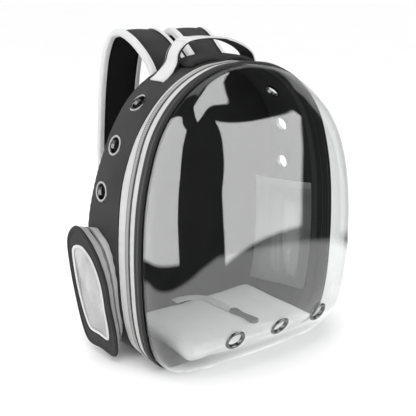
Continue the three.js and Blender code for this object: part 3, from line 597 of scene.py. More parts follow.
def gussetSection():
    front, back = frontLine(heights), backLine(heights)
    edge = back - body["backRound"]
    shares = np.linspace(0, 1, gusset["acrossSteps"])

    def dent(share):
        y = front + (edge - front) * share
        points = np.stack([outline[:, 0], y, outline[:, 1]], 1)
        near = np.exp(-np.minimum(share, 1 - share) / 0.10)
        around = outlineLength * 2 * math.pi / gusset["puckerPitch"]
        pucker = gusset["pucker"] * near * np.sin(around + 5 * np.sin(outlineLength * 31))
        crown = gusset["crown"] * math.sin(math.pi * share)
        return ripple(points, gusset["foldSize"], gusset["folds"], 3.0) + pucker + crown

    dents = [dent(share) for share in shares]
    section = [(d, front + (edge - front) * s) for d, s in zip(dents, shares)]
    for turn in np.linspace(0, math.pi / 2, 7)[1:]:
        dip = body["lip"] * (1 - math.cos(turn))
        section.append((dents[-1] - dip, edge + body["backRound"] * math.sin(turn)))
    lip, wall = body["lip"], body["wall"]
    section += [(-lip - wall, back), (-lip - wall, back - wall), (-wall - 0.0006, edge - wall / 2)]
    reach = edge - wall - front
    section += [(d - wall, front + reach * s) for d, s in zip(dents[::-1], shares[::-1] * 0.97)]
    section[-1] = (-wall, front)
    return section


windowRows = [  # across and up of the outer face, the mouth and the net, as shares of the window's size
    (0.70, 1.00, 0.66, 0.96, 0.63, 0.85), (0.42, 0.94, 0.47, 0.93, 0.43, 0.80),
    (0.20, 0.80, 0.24, 0.85, 0.28, 0.70), (0.06, 0.61, 0.09, 0.66, 0.19, 0.55),
    (0.03, 0.40, 0.06, 0.42, 0.17, 0.37), (-0.03, 0.17, 0.07, 0.22, 0.14, 0.20),
    (0.02, 0.01, 0.16, 0.155, 0.17, 0.115), (0.40, 0.00, 0.45, 0.145, 0.42, 0.115),
    (0.76, 0.015, 0.78, 0.16, 0.68, 0.135), (0.87, 0.13, 0.88, 0.23, 0.78, 0.24),
    (0.96, 0.40, 0.92, 0.43, 0.87, 0.44), (1.00, 0.65, 0.93, 0.66, 0.90, 0.64),
    (0.97, 0.86, 0.92, 0.84, 0.88, 0.79),
]
window = {
    "width": 0.084, "height": 0.163, "front": body["front"] - 0.003, "bottom": 0.011,
    "frame": 0.003, "proud": 0.009, "proudTop": 0.014, "proudBack": 0.0084, "wall": 0.0024,
    "holeMargin": 0.0045, "steps": 156,
}


def windowLoop(first):
    rows = np.array(windowRows)[:, first:first + 2]
    loop = curveThrough(rows, np.arange(window["steps"]) / window["steps"], closed=True)
    return loop * (window["width"], window["height"]) + (window["front"], window["bottom"])


def insetLoop(loop, distance):
    along = np.roll(loop, -1, 0) - np.roll(loop, 1, 0)
    along /= np.linalg.norm(along, axis=1, keepdims=True)
    normal = np.stack([-along[:, 1], along[:, 0]], 1)
    towards = loop.mean(0) - loop
    sign = np.sign((normal * towards).sum())
    return loop + normal * sign * distance


windowFace, windowMouth, windowNetLoop = windowLoop(0), windowLoop(2), windowLoop(4)


def faceX(loop):
    across = (loop[:, 0] - window["front"]) / window["width"]
    up = (loop[:, 1] - window["bottom"]) / window["height"]
    return body["width"] / 2 + window["proud"] + window["proudTop"] * up + window["proudBack"] * across


def onSide(side, x, loop):
    return np.stack([side * np.broadcast_to(x, len(loop)), loop[:, 0], loop[:, 1]], 1)


cabinMiddle = np.array((0, -0.02, 0.17))
eyeletRise = 0.0017


def eyeletSeat(node):
    # The middle of an eyelet's seat on the cloth or the dome, and its axis outwards
    points = np.unique(np.round([v.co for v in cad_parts[node].data.vertices], 6), axis=0)
    middle = points.mean(0)
    axis = np.linalg.svd(points - middle)[2][2]
    axis *= np.sign(axis @ (middle - cabinMiddle))
    top = ((points - middle) @ axis).max()
    return middle + axis * (top - eyeletRise), axis


sideEyelets = [f"side_eyelet_{side}_{k}" for side in ("left", "right") for k in (1, 2, 3)]
bubbleEyelets = [f"bubble_eyelet_{k}" for k in (1, 2, 3)]


def punch(piece, nodes, radius, length, extras=()):
    cutters = list(extras)
    for node in nodes:
        place, axis = eyeletSeat(node)
        only(piece)
        turn = Vector(axis).to_track_quat("Z", "Y").to_euler()
        bpy.ops.mesh.primitive_cylinder_add(
            vertices=48, radius=radius, depth=length, location=place, rotation=turn,
        )
        cutters.append(bpy.context.object)
    bpy.ops.object.select_all(action="DESELECT")
    for cutter in cutters:
        cutter.select_set(True)
    bpy.context.view_layer.objects.active = cutters[0]
    bpy.ops.object.join()
    cutter = bpy.context.object
    modify(piece, "BOOLEAN", operation="DIFFERENCE", object=cutter, solver="EXACT")
    bpy.data.objects.remove(cutter)


def makeGusset():
    piece = loft("gusset_cloth", hoopRings(gussetSection()), closedAlong=True)
    hole = insetLoop(windowMouth, window["holeMargin"])
    cutters = []
    for side in (-1, 1):
        reaches = (-gusset["windowReach"], window["proud"])
        rings = [onSide(side, body["width"] / 2 + reach, hole) for reach in reaches]
        cutters.append(loft("cutter", rings, capped=True))
    punch(piece, sideEyelets, gusset["eyeletCut"], 0.02, cutters)
    return dress(piece, blackCloth, "black_cloth", "gusset", angle=50)


makeGusset()
print("stage: body cloth")

# Zip band and binding
band = {"inset": 0.0006, "thickness": 0.0022, "pucker": 0.00025, "toothPitch": 0.0021, "stitch": 0.0032}
zipRows = [  # how far the zip's cloth stands out, and its share of the width
    (-0.0012, 0.00), (-0.0003, 0.06), (-0.0003, 0.22), (-0.0016, 0.28), (-0.0016, 0.38),
    (-0.0006, 0.42), (-0.0006, 0.58), (-0.0016, 0.62), (-0.0016, 0.72), (-0.0003, 0.78),
    (-0.0003, 0.94), (-0.0012, 1.00), (-0.0028, 1.00), (-0.0028, 0.50), (-0.0028, 0.00),
]


def tapeSection(front, back, lift, wave):
    phase = outlineLength * 2 * math.pi
    ruffle = band["pucker"] * np.sin(phase / 0.013 + wave + 4 * np.sin(outlineLength * 23 + wave))
    rows = []
    for share in (0, 0.06, 0.14, 0.3, 0.5, 0.7, 0.86, 0.94, 1):
        dip = 0.0005 * hump(min(share, 1 - share), 0.14, 0.05)
        roll = 0.0007 * (1 - min(1, min(share, 1 - share) / 0.06)) ** 2
        flutter = ruffle * (1 if 0.1 < share < 0.9 else 0.2)
        rows.append((lift - dip - roll + flutter, front + (back - front) * share))
    inner = lift - band["thickness"]
    return rows + [(inner, back), (inner, front + (back - front) * 0.5), (inner, front)]


def recolourInside(piece, across, first, material):
    # Gives another material to the faces from that column of the section onwards, which face the cabin; on
    # the straps and the back panel it is the darker black of painted shade.
    piece.data.materials.append(material)
    for face in piece.data.polygons:
        face.material_index = 1 if face.index % across >= first else 0


def stitchLine(y, out):
    line = hoopRings([(out, y)])[:, 0]
    away = np.stack([outlineNormal[:, 0], np.zeros(stationCount), outlineNormal[:, 1]], 1)
    return ringed(line), ringed(away)


def makeBand():
    for name, node, wave, back in (
        ("tape_rear", "main_tape_rear", 0.0, frontLine(heights) - body["gap"]),
        ("tape_front", "main_tape_front", 2.1, None),
    ):
        low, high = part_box(node)
        back = np.full(stationCount, high.y) if back is None else back
        section = tapeSection(low.y, back, -band["inset"], wave)
        piece = dress(loft(name, hoopRings(section), closedAlong=True), greyTape, "grey_tape", node)
        recolourInside(piece, len(section), 9, blackCloth)
        for k, share in enumerate((0.14, 0.86)):
            line, away = stitchLine(low.y + (back - low.y) * share, -band["inset"] - 0.0004)
            beads(f"{name}_stitch_{k + 1}", line, away, (0.0007, 0.0021, 0.0006), band["stitch"],
                  threadLight, "grey_tape")
    low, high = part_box("main_zip_coil")
    width = high.y - low.y
    section = [(out, low.y + width * share) for out, share in zipRows]
    dress(loft("zip_tape", hoopRings(section), closedAlong=True), zipCloth, "zip_coil", "main_zip_coil")
    line, away = stitchLine(low.y + width / 2, -0.0007)
    beads("zip_teeth", line, away, (0.0056, 0.0016, 0.0012), band["toothPitch"], zipTeeth, "zip_coil")


bindingSlot = [  # the slot for the dome's edge, from the binding's front
    (-0.0050, -0.0004), (-0.0042, -0.0003), (-0.0039, 0.0), (-0.0039, 0.0098), (-0.0017, 0.0098),
    (-0.0017, 0.0), (-0.0010, -0.0004),
]


def makeBinding():
    low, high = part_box("rim_binding")
    front, width = low.y, high.y - low.y
    foot = np.minimum(1, heights / 0.03)
    rows = []
    for share in np.linspace(0, 1, 20):
        ridge = 0.0013 * hump(share, 0.16, 0.09) + 0.0009 * hump(share, 0.88, 0.08)
        rib = 0.0003 * math.sin(share * 6 * math.pi) + 0.0004
        start = 0.0012 * (1 - min(1, share / 0.07)) ** 2
        rows.append(((ridge + rib - start) * foot, front + width * share))
    inner = -0.0056
    for share in np.linspace(1, 0, 16):
        ridge = 0.0008 * hump(share, 0.2, 0.10) + 0.0004 * math.sin(share * 8 * math.pi)
        rows.append((inner - ridge, front + width * share))
    rows += [(out, front + y) for out, y in bindingSlot]
    piece = loft("rim_binding_cloth", hoopRings(rows), closedAlong=True)
    dress(piece, bindingCloth, "binding_cloth", "rim_binding")
    line, away = stitchLine(front + width * 0.5, 0.0003)
    beads("binding_stitch", line, away, (0.0007, 0.0022, 0.0006), 0.0034, threadDark, "binding_cloth")


makeBand()
makeBinding()
print("stage: zip band and binding")

# Clear dome
dome = {
    "depth": 0.085, "wall": 0.0016, "inset": 0.002, "flange": 0.0095, "squareness": 2.6,
    "footSquareness": 3.4, "centre": 0.170, "rings": 36, "hole": 0.0111,
}
domeRows = [
    (0.000, 0.39), (0.032, 0.50), (0.067, 0.61), (0.136, 0.85), (0.240, 0.97), (0.400, 1.00),
    (0.550, 0.99), (0.690, 0.93), (0.800, 0.77), (0.880, 0.51), (0.940, 0.25), (1.000, 0.04),
]
domeLine = curveThrough(domeRows, np.linspace(0, 1, 300))
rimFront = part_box("rim_binding")[0].y


def domeDepth(x, z):
    rise = np.clip(z / body["height"], 0, 1)
    depth = np.interp(rise, domeLine[:, 0], domeLine[:, 1]) * dome["depth"]
    ratio = np.minimum(1, np.abs(x) / np.maximum(0.001, halfWidthAt(z, dome["inset"])))
    power = dome["footSquareness"] + (dome["squareness"] - dome["footSquareness"]) * smooth(rise, 0, 0.18)
    return depth * (1 - ratio ** power) ** (1 / power)


def makeDome():
    picked = range(0, stationCount, 2)
    ribs = []
    for k in picked:
        rim = outline[k] - outlineNormal[k] * dome["inset"]
        rim[1] = max(rim[1], 0)
        share = 1 - np.linspace(0, 1, 160)
        x = rim[0] * share
        z = dome["centre"] + (rim[1] - dome["centre"]) * share
        line = np.stack([x, rimFront - domeDepth(x, z), z], 1)
        line = np.vstack([[(rim[0], rimFront, rim[1])], line])
        rib = evenly(line, dome["rings"] + 1)[:-1]
        ribs.append(np.vstack([[(rim[0], rimFront + dome["flange"], rim[1])], rib]))
    piece = loft("dome", np.array(ribs), closedAlong=True, closedAcross=False)
    count, across = len(ribs), len(ribs[0])
    mesh = piece.data
    inner = [k * across + across - 1 for k in range(count)]
    vertices = [v.co[:] for v in mesh.vertices]
    apex = len(vertices)
    vertices.append((0, rimFront - domeDepth(0.0, dome["centre"]), dome["centre"]))
    faces = [tuple(p.vertices) for p in mesh.polygons]
    faces += [(inner[k], inner[(k + 1) % count], apex) for k in range(count)]
    bpy.data.objects.remove(piece)
    piece = newPiece("dome", vertices, faces)
    editAll(piece, faceOut)
    modify(piece, "SOLIDIFY", thickness=dome["wall"], offset=-1, use_even_offset=True)
    punch(piece, bubbleEyelets, dome["hole"], 0.02)
    dress(piece, clearDome, "clear_dome", "bubble", angle=60)


makeDome()
print("stage: dome")

# Eyelets: one rolled ring is spun for the cloth and one for the dome, then copied to each place.
eyelet = {"hole": 0.0095, "outer": 0.0140, "tail": 0.0009, "sides": 72}


def makeEyelet(name, wall):
    hole, outer = eyelet["hole"], eyelet["outer"]
    middle, reach = (hole + outer) / 2, (outer - hole) / 2
    turns = np.linspace(0, math.pi, 13)
    crown = [(middle + reach * math.cos(a), 0.0004 + 0.0016 * math.sin(a)) for a in turns]
    profile = crown + [
        (hole, -wall - eyelet["tail"]), (hole + 0.0004, -wall - eyelet["tail"] - 0.0003),
        (hole + 0.0012, -wall - eyelet["tail"]), (hole + 0.0012, 0.0003),
    ]
    count = len(profile)
    mesh = bpy.data.meshes.new(name)
    mesh.from_pydata([(r, 0, h) for r, h in profile], [(k, (k + 1) % count) for k in range(count)], [])
    piece = bpy.data.objects.new(name, mesh)
    link(piece)

    def spinRound():
        bpy.ops.mesh.spin(steps=eyelet["sides"], angle=2 * math.pi, center=(0, 0, 0), axis=(0, 0, 1))
        bpy.ops.mesh.select_all(action="SELECT")

    editAll(piece, spinRound, mergeDoubles, faceOut)
    return piece


def makeEyelets():
    for nodes, wall in ((sideEyelets, body["wall"]), (bubbleEyelets, dome["wall"])):
        first = makeEyelet("eyelet", wall)
        for node in nodes:
            place, axis = eyeletSeat(node)
            piece = duplicate(first, node + "_ring")
            turn = Vector(axis).to_track_quat("Z", "Y").to_matrix().to_4x4()
            piece.data.transform(Matrix.Translation(Vector(place)) @ turn)
            dress(piece, eyeletMetal, "eyelet_metal", node, angle=35)
        bpy.data.objects.remove(first)


makeEyelets()
print("stage: eyelets")

# Side windows
tapeDips = (0.0006, 0.0, 0.0004, 0.0, 0.0003, 0.0006)
coilDips = (0.0005, 0.0, 0.0012, 0.0012, 0.0, 0.0005)
sleeve = [  # part, start and end as shares of the way out, dips, ruffle, material and slot
    ("tape_inner", 0.00, 0.42, tapeDips, 0.0004, greyTape, "grey_tape"),
    ("coil", 0.45, 0.58, coilDips, 0.0, zipCloth, "zip_coil"),
    ("tape_outer", 0.61, 1.00, tapeDips, 0.0004, sleeveTape, "grey_tape"),
]
teethShare = 0.515
frameRows = [  # share of the way to the net, drop from the face, and how far outwards
    (0.0, 0.0030, 0.0), (0.0, 0.0018, 0.0009), (0.0, 0.0002, 0.0004), (0.04, 0.0, 0.0),
    (0.14, -0.0008, 0.0), (0.26, 0.0004, 0.0), (0.5, 0.0002, 0.0), (0.74, 0.0004, 0.0),
    (0.88, -0.0004, 0.0), (0.97, 0.0004, 0.0), (1.0, 0.0012, 0.0), (1.0, 0.0030, 0.0),
    (0.5, 0.0030, 0.0),
]
hemRows = [(0.0002, 0.0), (0.0004, 0.0008), (0.0022, 0.0010), (0.0042, 0.0008), (0.0044, 0.0)]
netFolds = [  # a crease's two ends as shares across and up, its depth and its width
    (0.22, 0.95, 0.40, 0.10, 0.0022, 0.006),
    (0.30, 0.92, 0.92, 0.42, 0.0030, 0.007),
    (0.88, 0.60, 0.52, 0.08, 0.0026, 0.006),
    (0.55, 0.75, 0.62, 0.25, -0.0018, 0.010),
]


def sleevePoint(side, mouth, face, share):
    start = onSide(side, halfWidthAt(mouth[:, 1]) + 0.0006, mouth)
    end = onSide(side, faceX(face) - window["frame"] - body["gap"], face)
    return start + (end - start) * share


def makeSleeve(side, word):
    mouthIn, faceIn = insetLoop(windowMouth, window["wall"]), insetLoop(windowFace, window["wall"])
    phase = np.arange(window["steps"]) * 2 * math.pi / window["steps"]
    for part, low, high, dips, ruffle, material, slot in sleeve:
        rings = []
        for share, dip in zip(np.linspace(low, high, len(dips)), dips):
            wave = ruffle * np.sin(phase * 17 + 3 * np.sin(phase * 5) + share * 9)
            outer = sleevePoint(side, insetLoop(windowMouth, dip), insetLoop(windowFace, dip), share)
            outer[:, 0] += side * wave
            rings.append(outer)
        rings += [sleevePoint(side, mouthIn, faceIn, share) for share in (high, low)]
        piece = loft(f"window_{part}_{word}_cloth", np.stack(rings, 1), closedAlong=True)
        dress(piece, material, slot, f"window_{part}_{word}")
    middle = sleevePoint(side, insetLoop(windowMouth, 0.0010), insetLoop(windowFace, 0.0010), teethShare)
    away = ringed(middle - sleevePoint(side, mouthIn, faceIn, teethShare))
    size = (0.0026, 0.0014, 0.0011)
    beads(f"window_teeth_{word}", ringed(middle), away, size, 0.002, zipTeeth, "zip_coil")


def makeFrame(side, word):
    rings = []
    for share, drop, proud in frameRows:
        loop = windowFace + (windowNetLoop - windowFace) * share
        loop = insetLoop(loop, -proud) if proud else loop
        rings.append(onSide(side, faceX(loop) - drop, loop))
    piece = loft(f"window_frame_{word}_cloth", np.stack(rings, 1), closedAlong=True)
    dress(piece, blackCloth, "black_cloth", f"window_frame_{word}")


def foldDepth(points):
    size = np.array((window["width"], window["height"]))
    place = points - (window["front"], window["bottom"])
    depth = np.zeros(len(points))
    for x0, z0, x1, z1, deep, wide in netFolds:
        start, end = size * (x0, z0), size * (x1, z1)
        run = (end - start) / np.linalg.norm(end - start)
        off = (place - start) @ np.array((-run[1], run[0]))
        depth += deep * np.exp(-np.abs(off / wide) ** 1.3)
    return depth


def makeNet(side, word):
    loop = insetLoop(windowNetLoop, body["gap"] + 0.0001)
    middle = loop.mean(0)
    rings = []
    for share in np.linspace(1, 0.02, 34):
        flat = middle + (loop - middle) * share
        calm = smooth(1 - share, 0, 0.18)
        drop = 0.0014 + 0.0012 * calm + foldDepth(flat) * calm
        rings.append(onSide(side, faceX(flat) - drop, flat))
    rings = np.stack(rings, 1)
    piece = loft(f"window_net_{word}_cloth", rings, closedAlong=True, closedAcross=False)
    last = len(rings[0]) - 1
    flatUv = corners(piece)[:, 1:]
    loops = np.zeros(len(piece.data.loops), np.int32)
    piece.data.loops.foreach_get("vertex_index", loops)
    piece.data.uv_layers["Along"].data.foreach_set("uv", flatUv[loops].astype(np.float32).ravel())

    def closeMiddle():
        bpy.ops.mesh.select_all(action="DESELECT")
        bpy.ops.object.mode_set(mode="OBJECT")
        for k in range(len(rings)):
            piece.data.vertices[k * len(rings[0]) + last].select = True
        bpy.ops.object.mode_set(mode="EDIT")
        bpy.ops.mesh.edge_face_add()

    editAll(piece, closeMiddle)
    modify(piece, "SOLIDIFY", thickness=0.0004, offset=0)
    dress(piece, windowNet, "net", f"window_net_{word}")
    rows = []
    for inset, lift in hemRows:
        edge = insetLoop(windowNetLoop, inset)
        rows.append(onSide(side, faceX(edge) - 0.0012 + lift, edge))
    hem = loft(f"window_hem_{word}", np.stack(rows, 1), closedAlong=True)
    dress(hem, webbing, "light_webbing")
    span = loop.max(0) - loop.min(0)
    x, z = loop[:, 0], loop[:, 1]
    area = abs(np.sum(x * np.roll(z, -1) - np.roll(x, -1) * z)) / 2


for sideSign, sideWord in ((-1, "left"), (1, "right")):
    makeSleeve(sideSign, sideWord)
    makeFrame(sideSign, sideWord)
    makeNet(sideSign, sideWord)


# Net pocket across the corner between the far side and the back panel
pocket = {
    "corner": 0.030, "behind": 0.0068, "columns": 30, "rows": 60, "bow": 0.004, "sway": 0.0006,
    "hem": 0.009, "edge": 0.0008,
}


def pocketLine(z, lift, low, high):
    side = halfWidthAt(z, body["wall"] + 0.0006) - pocket["edge"]
    shares = np.linspace(0.0, 1.0, pocket["columns"])
    start = np.array([side, low.y + pocket["edge"]])
    end = np.array([side - pocket["corner"], backLine(z) - pocket["behind"]])
    along = (end - start) / np.linalg.norm(end - start)
    inward = np.array([-along[1], along[0]])
    rise = smooth(z, low.z, high.z)
    bow = np.sin(shares * math.pi) * pocket["bow"] * rise
    bow = bow + pocket["sway"] * np.sin(shares * 9.0 + z * 30) + lift
    spots = start + (end - start) * shares[:, None] + inward * bow[:, None]
    return np.column_stack([spots, np.full(pocket["columns"], z)])


def makePocket():
    low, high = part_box("inner_pocket")
    rows = np.linspace(low.z, high.z, pocket["rows"])
    piece = loft("inner_pocket_net", [pocketLine(z, 0.0, low, high) for z in rows], closedAcross=False)
    modify(piece, "SOLIDIFY", thickness=0.0004, offset=0)
    rows = np.linspace(high.z - pocket["hem"], high.z + 0.0004, 6)
    hem = loft("inner_pocket_hem", [pocketLine(z, 0.0007, low, high) for z in rows], closedAcross=False)
    modify(hem, "SOLIDIFY", thickness=0.0007, offset=0)
    dress(piece, pocketNet, "net", "inner_pocket")
    dress(hem, pocketNet, "net")
    top = pocketLine(high.z, 0.0, low, high)


makePocket()
print("stage: windows")

# Back panel
backPanel = {
    "inset": 0.0078, "thick": 0.006, "columns": 60, "rows": 90, "sink": 0.0026,
    "seams": (-0.055, 0.055), "seamDepth": 0.0016, "seamWidth": 0.004,
}


def makeBackPanel():
    bottom, top = backPanel["inset"], body["height"] - backPanel["inset"] * 1.02
    rings = []
    for z in np.linspace(bottom, top, backPanel["rows"]):
        half = max(halfWidthAt(z, backPanel["inset"]), 0.004)
        shares = np.sin(np.linspace(-1, 1, backPanel["columns"]) * math.pi / 2)
        x = half * shares
        rim = np.minimum((1 - np.abs(shares)) * half, np.minimum(z - bottom, top - z))
        sink = backPanel["sink"] * np.exp(-rim / 0.006)
        for line in backPanel["seams"]:
            seam = backPanel["seamDepth"] * hump(x, line, backPanel["seamWidth"])
            sink = sink + seam * smooth(rim, 0.004, 0.02)
        back = float(backLine(z)) + 0.0006
        outer = np.stack([x, back - sink, np.full(len(x), z)], 1)
        face = np.full(len(x), back - backPanel["thick"]) + 0.0004 * np.exp(-rim / 0.004)
        inner = np.stack([x, face, np.full(len(x), z)], 1)
        rings.append(np.vstack([outer, inner[::-1]]))
    piece = loft("back_panel_pad", rings, capped=True)
    dress(piece, paddedBack, "black_cloth", "back_panel")
    # The face towards the cabin takes the darker black, painted shade.
    recolourInside(piece, 2 * backPanel["columns"], backPanel["columns"], blackClothShaded)


makeBackPanel()


# Padded pieces swollen by cloth simulation
padding = {
    "quality": 5, "use_pressure": True, "tension_stiffness": 12, "compression_stiffness": 12,
    "bending_stiffness": 0.6,
}


def swell(piece, voxel, pressure, cap, frames=20):
    modify(piece, "REMESH", mode="VOXEL", voxel_size=voxel, adaptivity=0)
    start = corners(piece)
    only(piece)
    cloth = piece.modifiers.new("Cloth", "CLOTH")
    for key, value in padding.items():
        setattr(cloth.settings, key, value)
    cloth.settings.uniform_pressure_force = pressure
    cloth.settings.effector_weights.gravity = 0
    cloth.point_cache.frame_start, cloth.point_cache.frame_end = 1, frames
    for step in range(1, frames + 1):
        bpy.context.scene.frame_set(step)
    bpy.ops.object.modifier_apply(modifier="Cloth")
    bpy.context.scene.frame_set(1)
    moved = corners(piece) - start
    far = np.linalg.norm(moved, axis=1, keepdims=True)
    setCorners(piece, start + moved * np.minimum(1, cap / np.maximum(far, 1e-9)))
    modify(piece, "SMOOTH", factor=0.5, iterations=3)


mat = {"voxel": 0.005, "pressure": 4.0, "cap": 0.004, "shrink": 0.003, "crease": 0.002, "ripple": 0.0016}


def makeMat():
    low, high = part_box("floor_mat")
    piece = copyOf("floor_mat", "floor_cushion")
    points = corners(piece)
    middle = np.array([(low.x + high.x) / 2, (low.y + high.y) / 2, (low.z + high.z) / 2])
    size = np.array([high.x - low.x, high.y - low.y, high.z - low.z])
    setCorners(piece, middle + (points - middle) * (1 - 2 * mat["shrink"] / size))
    swell(piece, mat["voxel"], mat["pressure"], mat["cap"])
    points = corners(piece)
    seam = hump(points[:, 0] + 0.25 * points[:, 1], -0.02, 0.010)
    top = smooth(points[:, 2], (low.z + high.z) / 2, high.z)
    points[:, 2] += ripple(points, 0.05, mat["ripple"], 7.0) * top - mat["crease"] * seam * top
    points = np.clip(points, (low.x, low.y, low.z), (high.x, high.y, high.z))
    setCorners(piece, points)
    modify(piece, "SUBSURF", levels=1, render_levels=1)
    dress(piece, matFleece, "mat_cloth", "floor_mat", angle=180)


makeMat()

topPad = {"voxel": 0.004, "pressure": 4.0, "cap": 0.004, "shares": (0.985, 0.96, 0.97)}


def makeTopPad():
    piece = copyOf("top_pad", "top_cushion")
    points = corners(piece)
    middle = points.mean(0)
    setCorners(piece, middle + (points - middle) * topPad["shares"])
    swell(piece, topPad["voxel"], topPad["pressure"], topPad["cap"])
    points = corners(piece)
    points[:, 2] = np.maximum(points[:, 2], topAt(points[:, 0]) + body["gap"])
    setCorners(piece, points)
    modify(piece, "SUBSURF", levels=2, render_levels=2)
    dress(piece, blackLoose, "black_cloth", "top_pad", angle=180)


makeTopPad()
print("stage: cushions")

# Grab handle
handle = {
    "width": 0.028, "centre": -0.018, "halfSpan": 0.070, "rise": 0.0295, "foot": 0.014, "thick": 0.0016,
    "fold": (0.285, 0.365),
}
handlePinches = [(0.26, 0.20, 0.08), (0.15, 0.47, 0.12)]  # depth, place and width
handleRows = [
    (-0.90, -0.10), (-0.85, 0.30), (-0.76, 0.60), (-0.62, 0.83), (-0.30, 0.93), (0.00, 0.92),
    (0.28, 0.85), (0.52, 0.68), (0.73, 0.44), (0.87, 0.16), (0.94, -0.20),
]


def handlePath(count):
    lift = body["gap"] + handle["thick"] * 1.5

    def onTop(x):
        z = float(topAt(x))
        fall = z - float(topAt(abs(x) + 0.001))
        normal = np.array((math.copysign(fall, x), 0.001))
        normal /= np.linalg.norm(normal)
        return (x + normal[0] * lift, handle["centre"], z + normal[1] * lift)

    feet = [handle["halfSpan"] + handle["foot"] * (1 - share) for share in (0, 0.5)]
    free = [(along * handle["halfSpan"], handle["centre"], body["height"] + rise * handle["rise"])
            for along, rise in handleRows]
    points = [onTop(-x) for x in feet] + free + [onTop(x) for x in feet[::-1]]
    return evenly(curveThrough(points, np.linspace(0, 1, 400)), count)


def makeHandle():
    path = handlePath(120)
    side = (0, -1, 0)
    half, thick = handle["width"] / 2, handle["thick"] / 2
    across = np.linspace(-1, 1, 9) * (half - 0.0022)
    lip = [(half - 0.0006, thick - 0.0004), (half + 0.0006, -thick), (half + 0.0006, -2.8 * thick),
           (half - 0.0018, -3.0 * thick), (half - 0.0018, -2.6 * thick), (half - 0.0002, -2.3 * thick),
           (half - 0.0004, -thick)]
    web = np.array([(x, thick) for x in across] + lip + [(x, -thick) for x in across[::-1]])
    shares = np.linspace(0, 1, len(path))
    narrow = 1 - sum(depth * hump(shares, at, width) for depth, at, width in handlePinches)
    web = web[None] * np.stack([narrow, np.ones(len(path))], 1)[:, None]
    piece = loft("handle_webbing", sweepRings(path, side, web), capped=True)
    wrap = roundedStrip(handle["width"] * 0.96, handle["thick"] * 3.4)
    first, last = (int(share * len(path)) for share in handle["fold"])
    wrap = [(x, n - thick) for x, n in wrap]
    fold = loft("handle_fold", sweepRings(path[first:last], side, wrap), capped=True)
    dress(fold, webbing, "light_webbing")
    dress(piece, webbing, "light_webbing", "handle_web")
    lining = roundedStrip(handle["width"], handle["thick"])
    under = [(x, n - handle["thick"] - body["gap"]) for x, n in lining]
    piece = loft("handle_lining", sweepRings(path, side, under), capped=True)
    dress(piece, blackCloth, "black_cloth", "handle_backing")
    for k, share in enumerate((-0.42, 0.42)):
        x = share * handle["width"]
        rings, lower = (sweepRings(path, side, [(x, n)])[:, 0] for n in (thick, -thick))
        beads(f"handle_stitch_{k + 1}", rings, rings - lower, (0.0006, 0.0020, 0.0004), 0.003,
              threadLight, "light_webbing")


makeHandle()
print("stage: handle")

# Shoulder straps: the right one is modelled, and the left one mirrors it.
strap = {
    "width": 0.060, "thick": 0.0076, "top": 0.405, "reach": 0.098, "spread": 0.038, "rootGap": 0.0019,
    "cover": 0.0065, "edge": 0.0008, "web": 0.025, "webThick": 0.0018, "rootLength": 0.023, "tail": 0.025,
    "columns": 19, "edgeRound": 0.003, "corner": 0.002,
}
strapRows = [  # back, height and spread
    (0.000, 0.870, 0.95), (0.060, 0.895, 0.95), (0.150, 0.918, 0.95), (0.300, 0.947, 0.96),
    (0.500, 0.980, 1.02), (0.750, 1.000, 1.09), (0.930, 0.985, 1.16), (1.020, 0.930, 1.28),
    (1.050, 0.840, 1.42), (1.050, 0.720, 1.55), (1.030, 0.600, 1.66), (0.980, 0.510, 1.74),
]
strapWebRows = [(0.955, 0.470, 1.78), (0.860, 0.370, 2.05), (0.650, 0.240, 2.50), (0.440, 0.140, 2.85)]
strapBack = float(backLine(strapRows[0][1] * strap["top"])) + strap["thick"] / 2
strapBack = strapBack + strap["edge"] + strap["rootGap"]


def strapPoint(row):
    back, height, spread = row
    return (spread * strap["spread"], strapBack + back * strap["reach"], height * strap["top"])


def strapPath(count):
    first = strapPoint(strapRows[0])
    low = first[2] - strap["rootLength"]
    root = (first[0], strapBack + float(backLine(low) - backLine(first[2])), low)
    points = [root] + [strapPoint(row) for row in strapRows]
    return evenly(curveThrough(points, np.linspace(0, 1, 500)), count)


def webPath(count):
    free = [strapPoint(row) for row in strapWebRows]
    x, _, z = free[-1]
    lift = body["gap"] + strap["webThick"]
    foot = [(x, float(backLine(z - drop)) + lift, z - drop) for drop in (strap["tail"] * 0.4, strap["tail"])]
    return evenly(curveThrough(free + foot, np.linspace(0, 1, 400)), count)


def padSection():
    half, thick = strap["width"] / 2, strap["thick"] / 2
    across = np.linspace(-1, 1, strap["columns"])
    lift = thick * (1 - 0.55 * np.abs(across) ** 5) + 0.0006 * np.cos(across * math.pi)
    seam = 0.0009 * hump(np.abs(across), 0.66, 0.05)
    top = [(x * (half - 0.0005), n) for x, n in zip(across, lift - seam)]
    low = [(x * (half - 0.0005), -n) for x, n in zip(across[::-1], lift[::-1])]
    return top + low


def edgeSection(side):
    outer = strap["width"] / 2 + strap["edge"] + body["gap"]
    cover = strap["width"] / 2 - strap["cover"]
    lid = strap["thick"] / 2 + body["gap"]
    top = lid + strap["edge"]
    inner = strap["width"] / 2 + body["gap"]
    bend, corner = strap["edgeRound"], strap["corner"]
    arc = [(outer - bend + bend * math.cos(a), top - bend + bend * math.sin(a))
           for a in np.linspace(math.pi / 2, 0, 5)]
    upper = [(cover, lid), (cover + 0.0003, top)] + arc
    lower = [(x, -n) for x, n in upper[::-1]]
    hollow = [(inner - corner, -lid), (inner, -lid + corner), (inner, lid - corner), (inner - corner, lid)]
    return [(side * x, n) for x, n in upper + lower + hollow]


def mirrorOf(piece, name):
    twin = duplicate(piece, name)
    twin.data.transform(Matrix.Scale(-1, 4, (1, 0, 0)))
    editAll(twin, faceOut)
    return twin


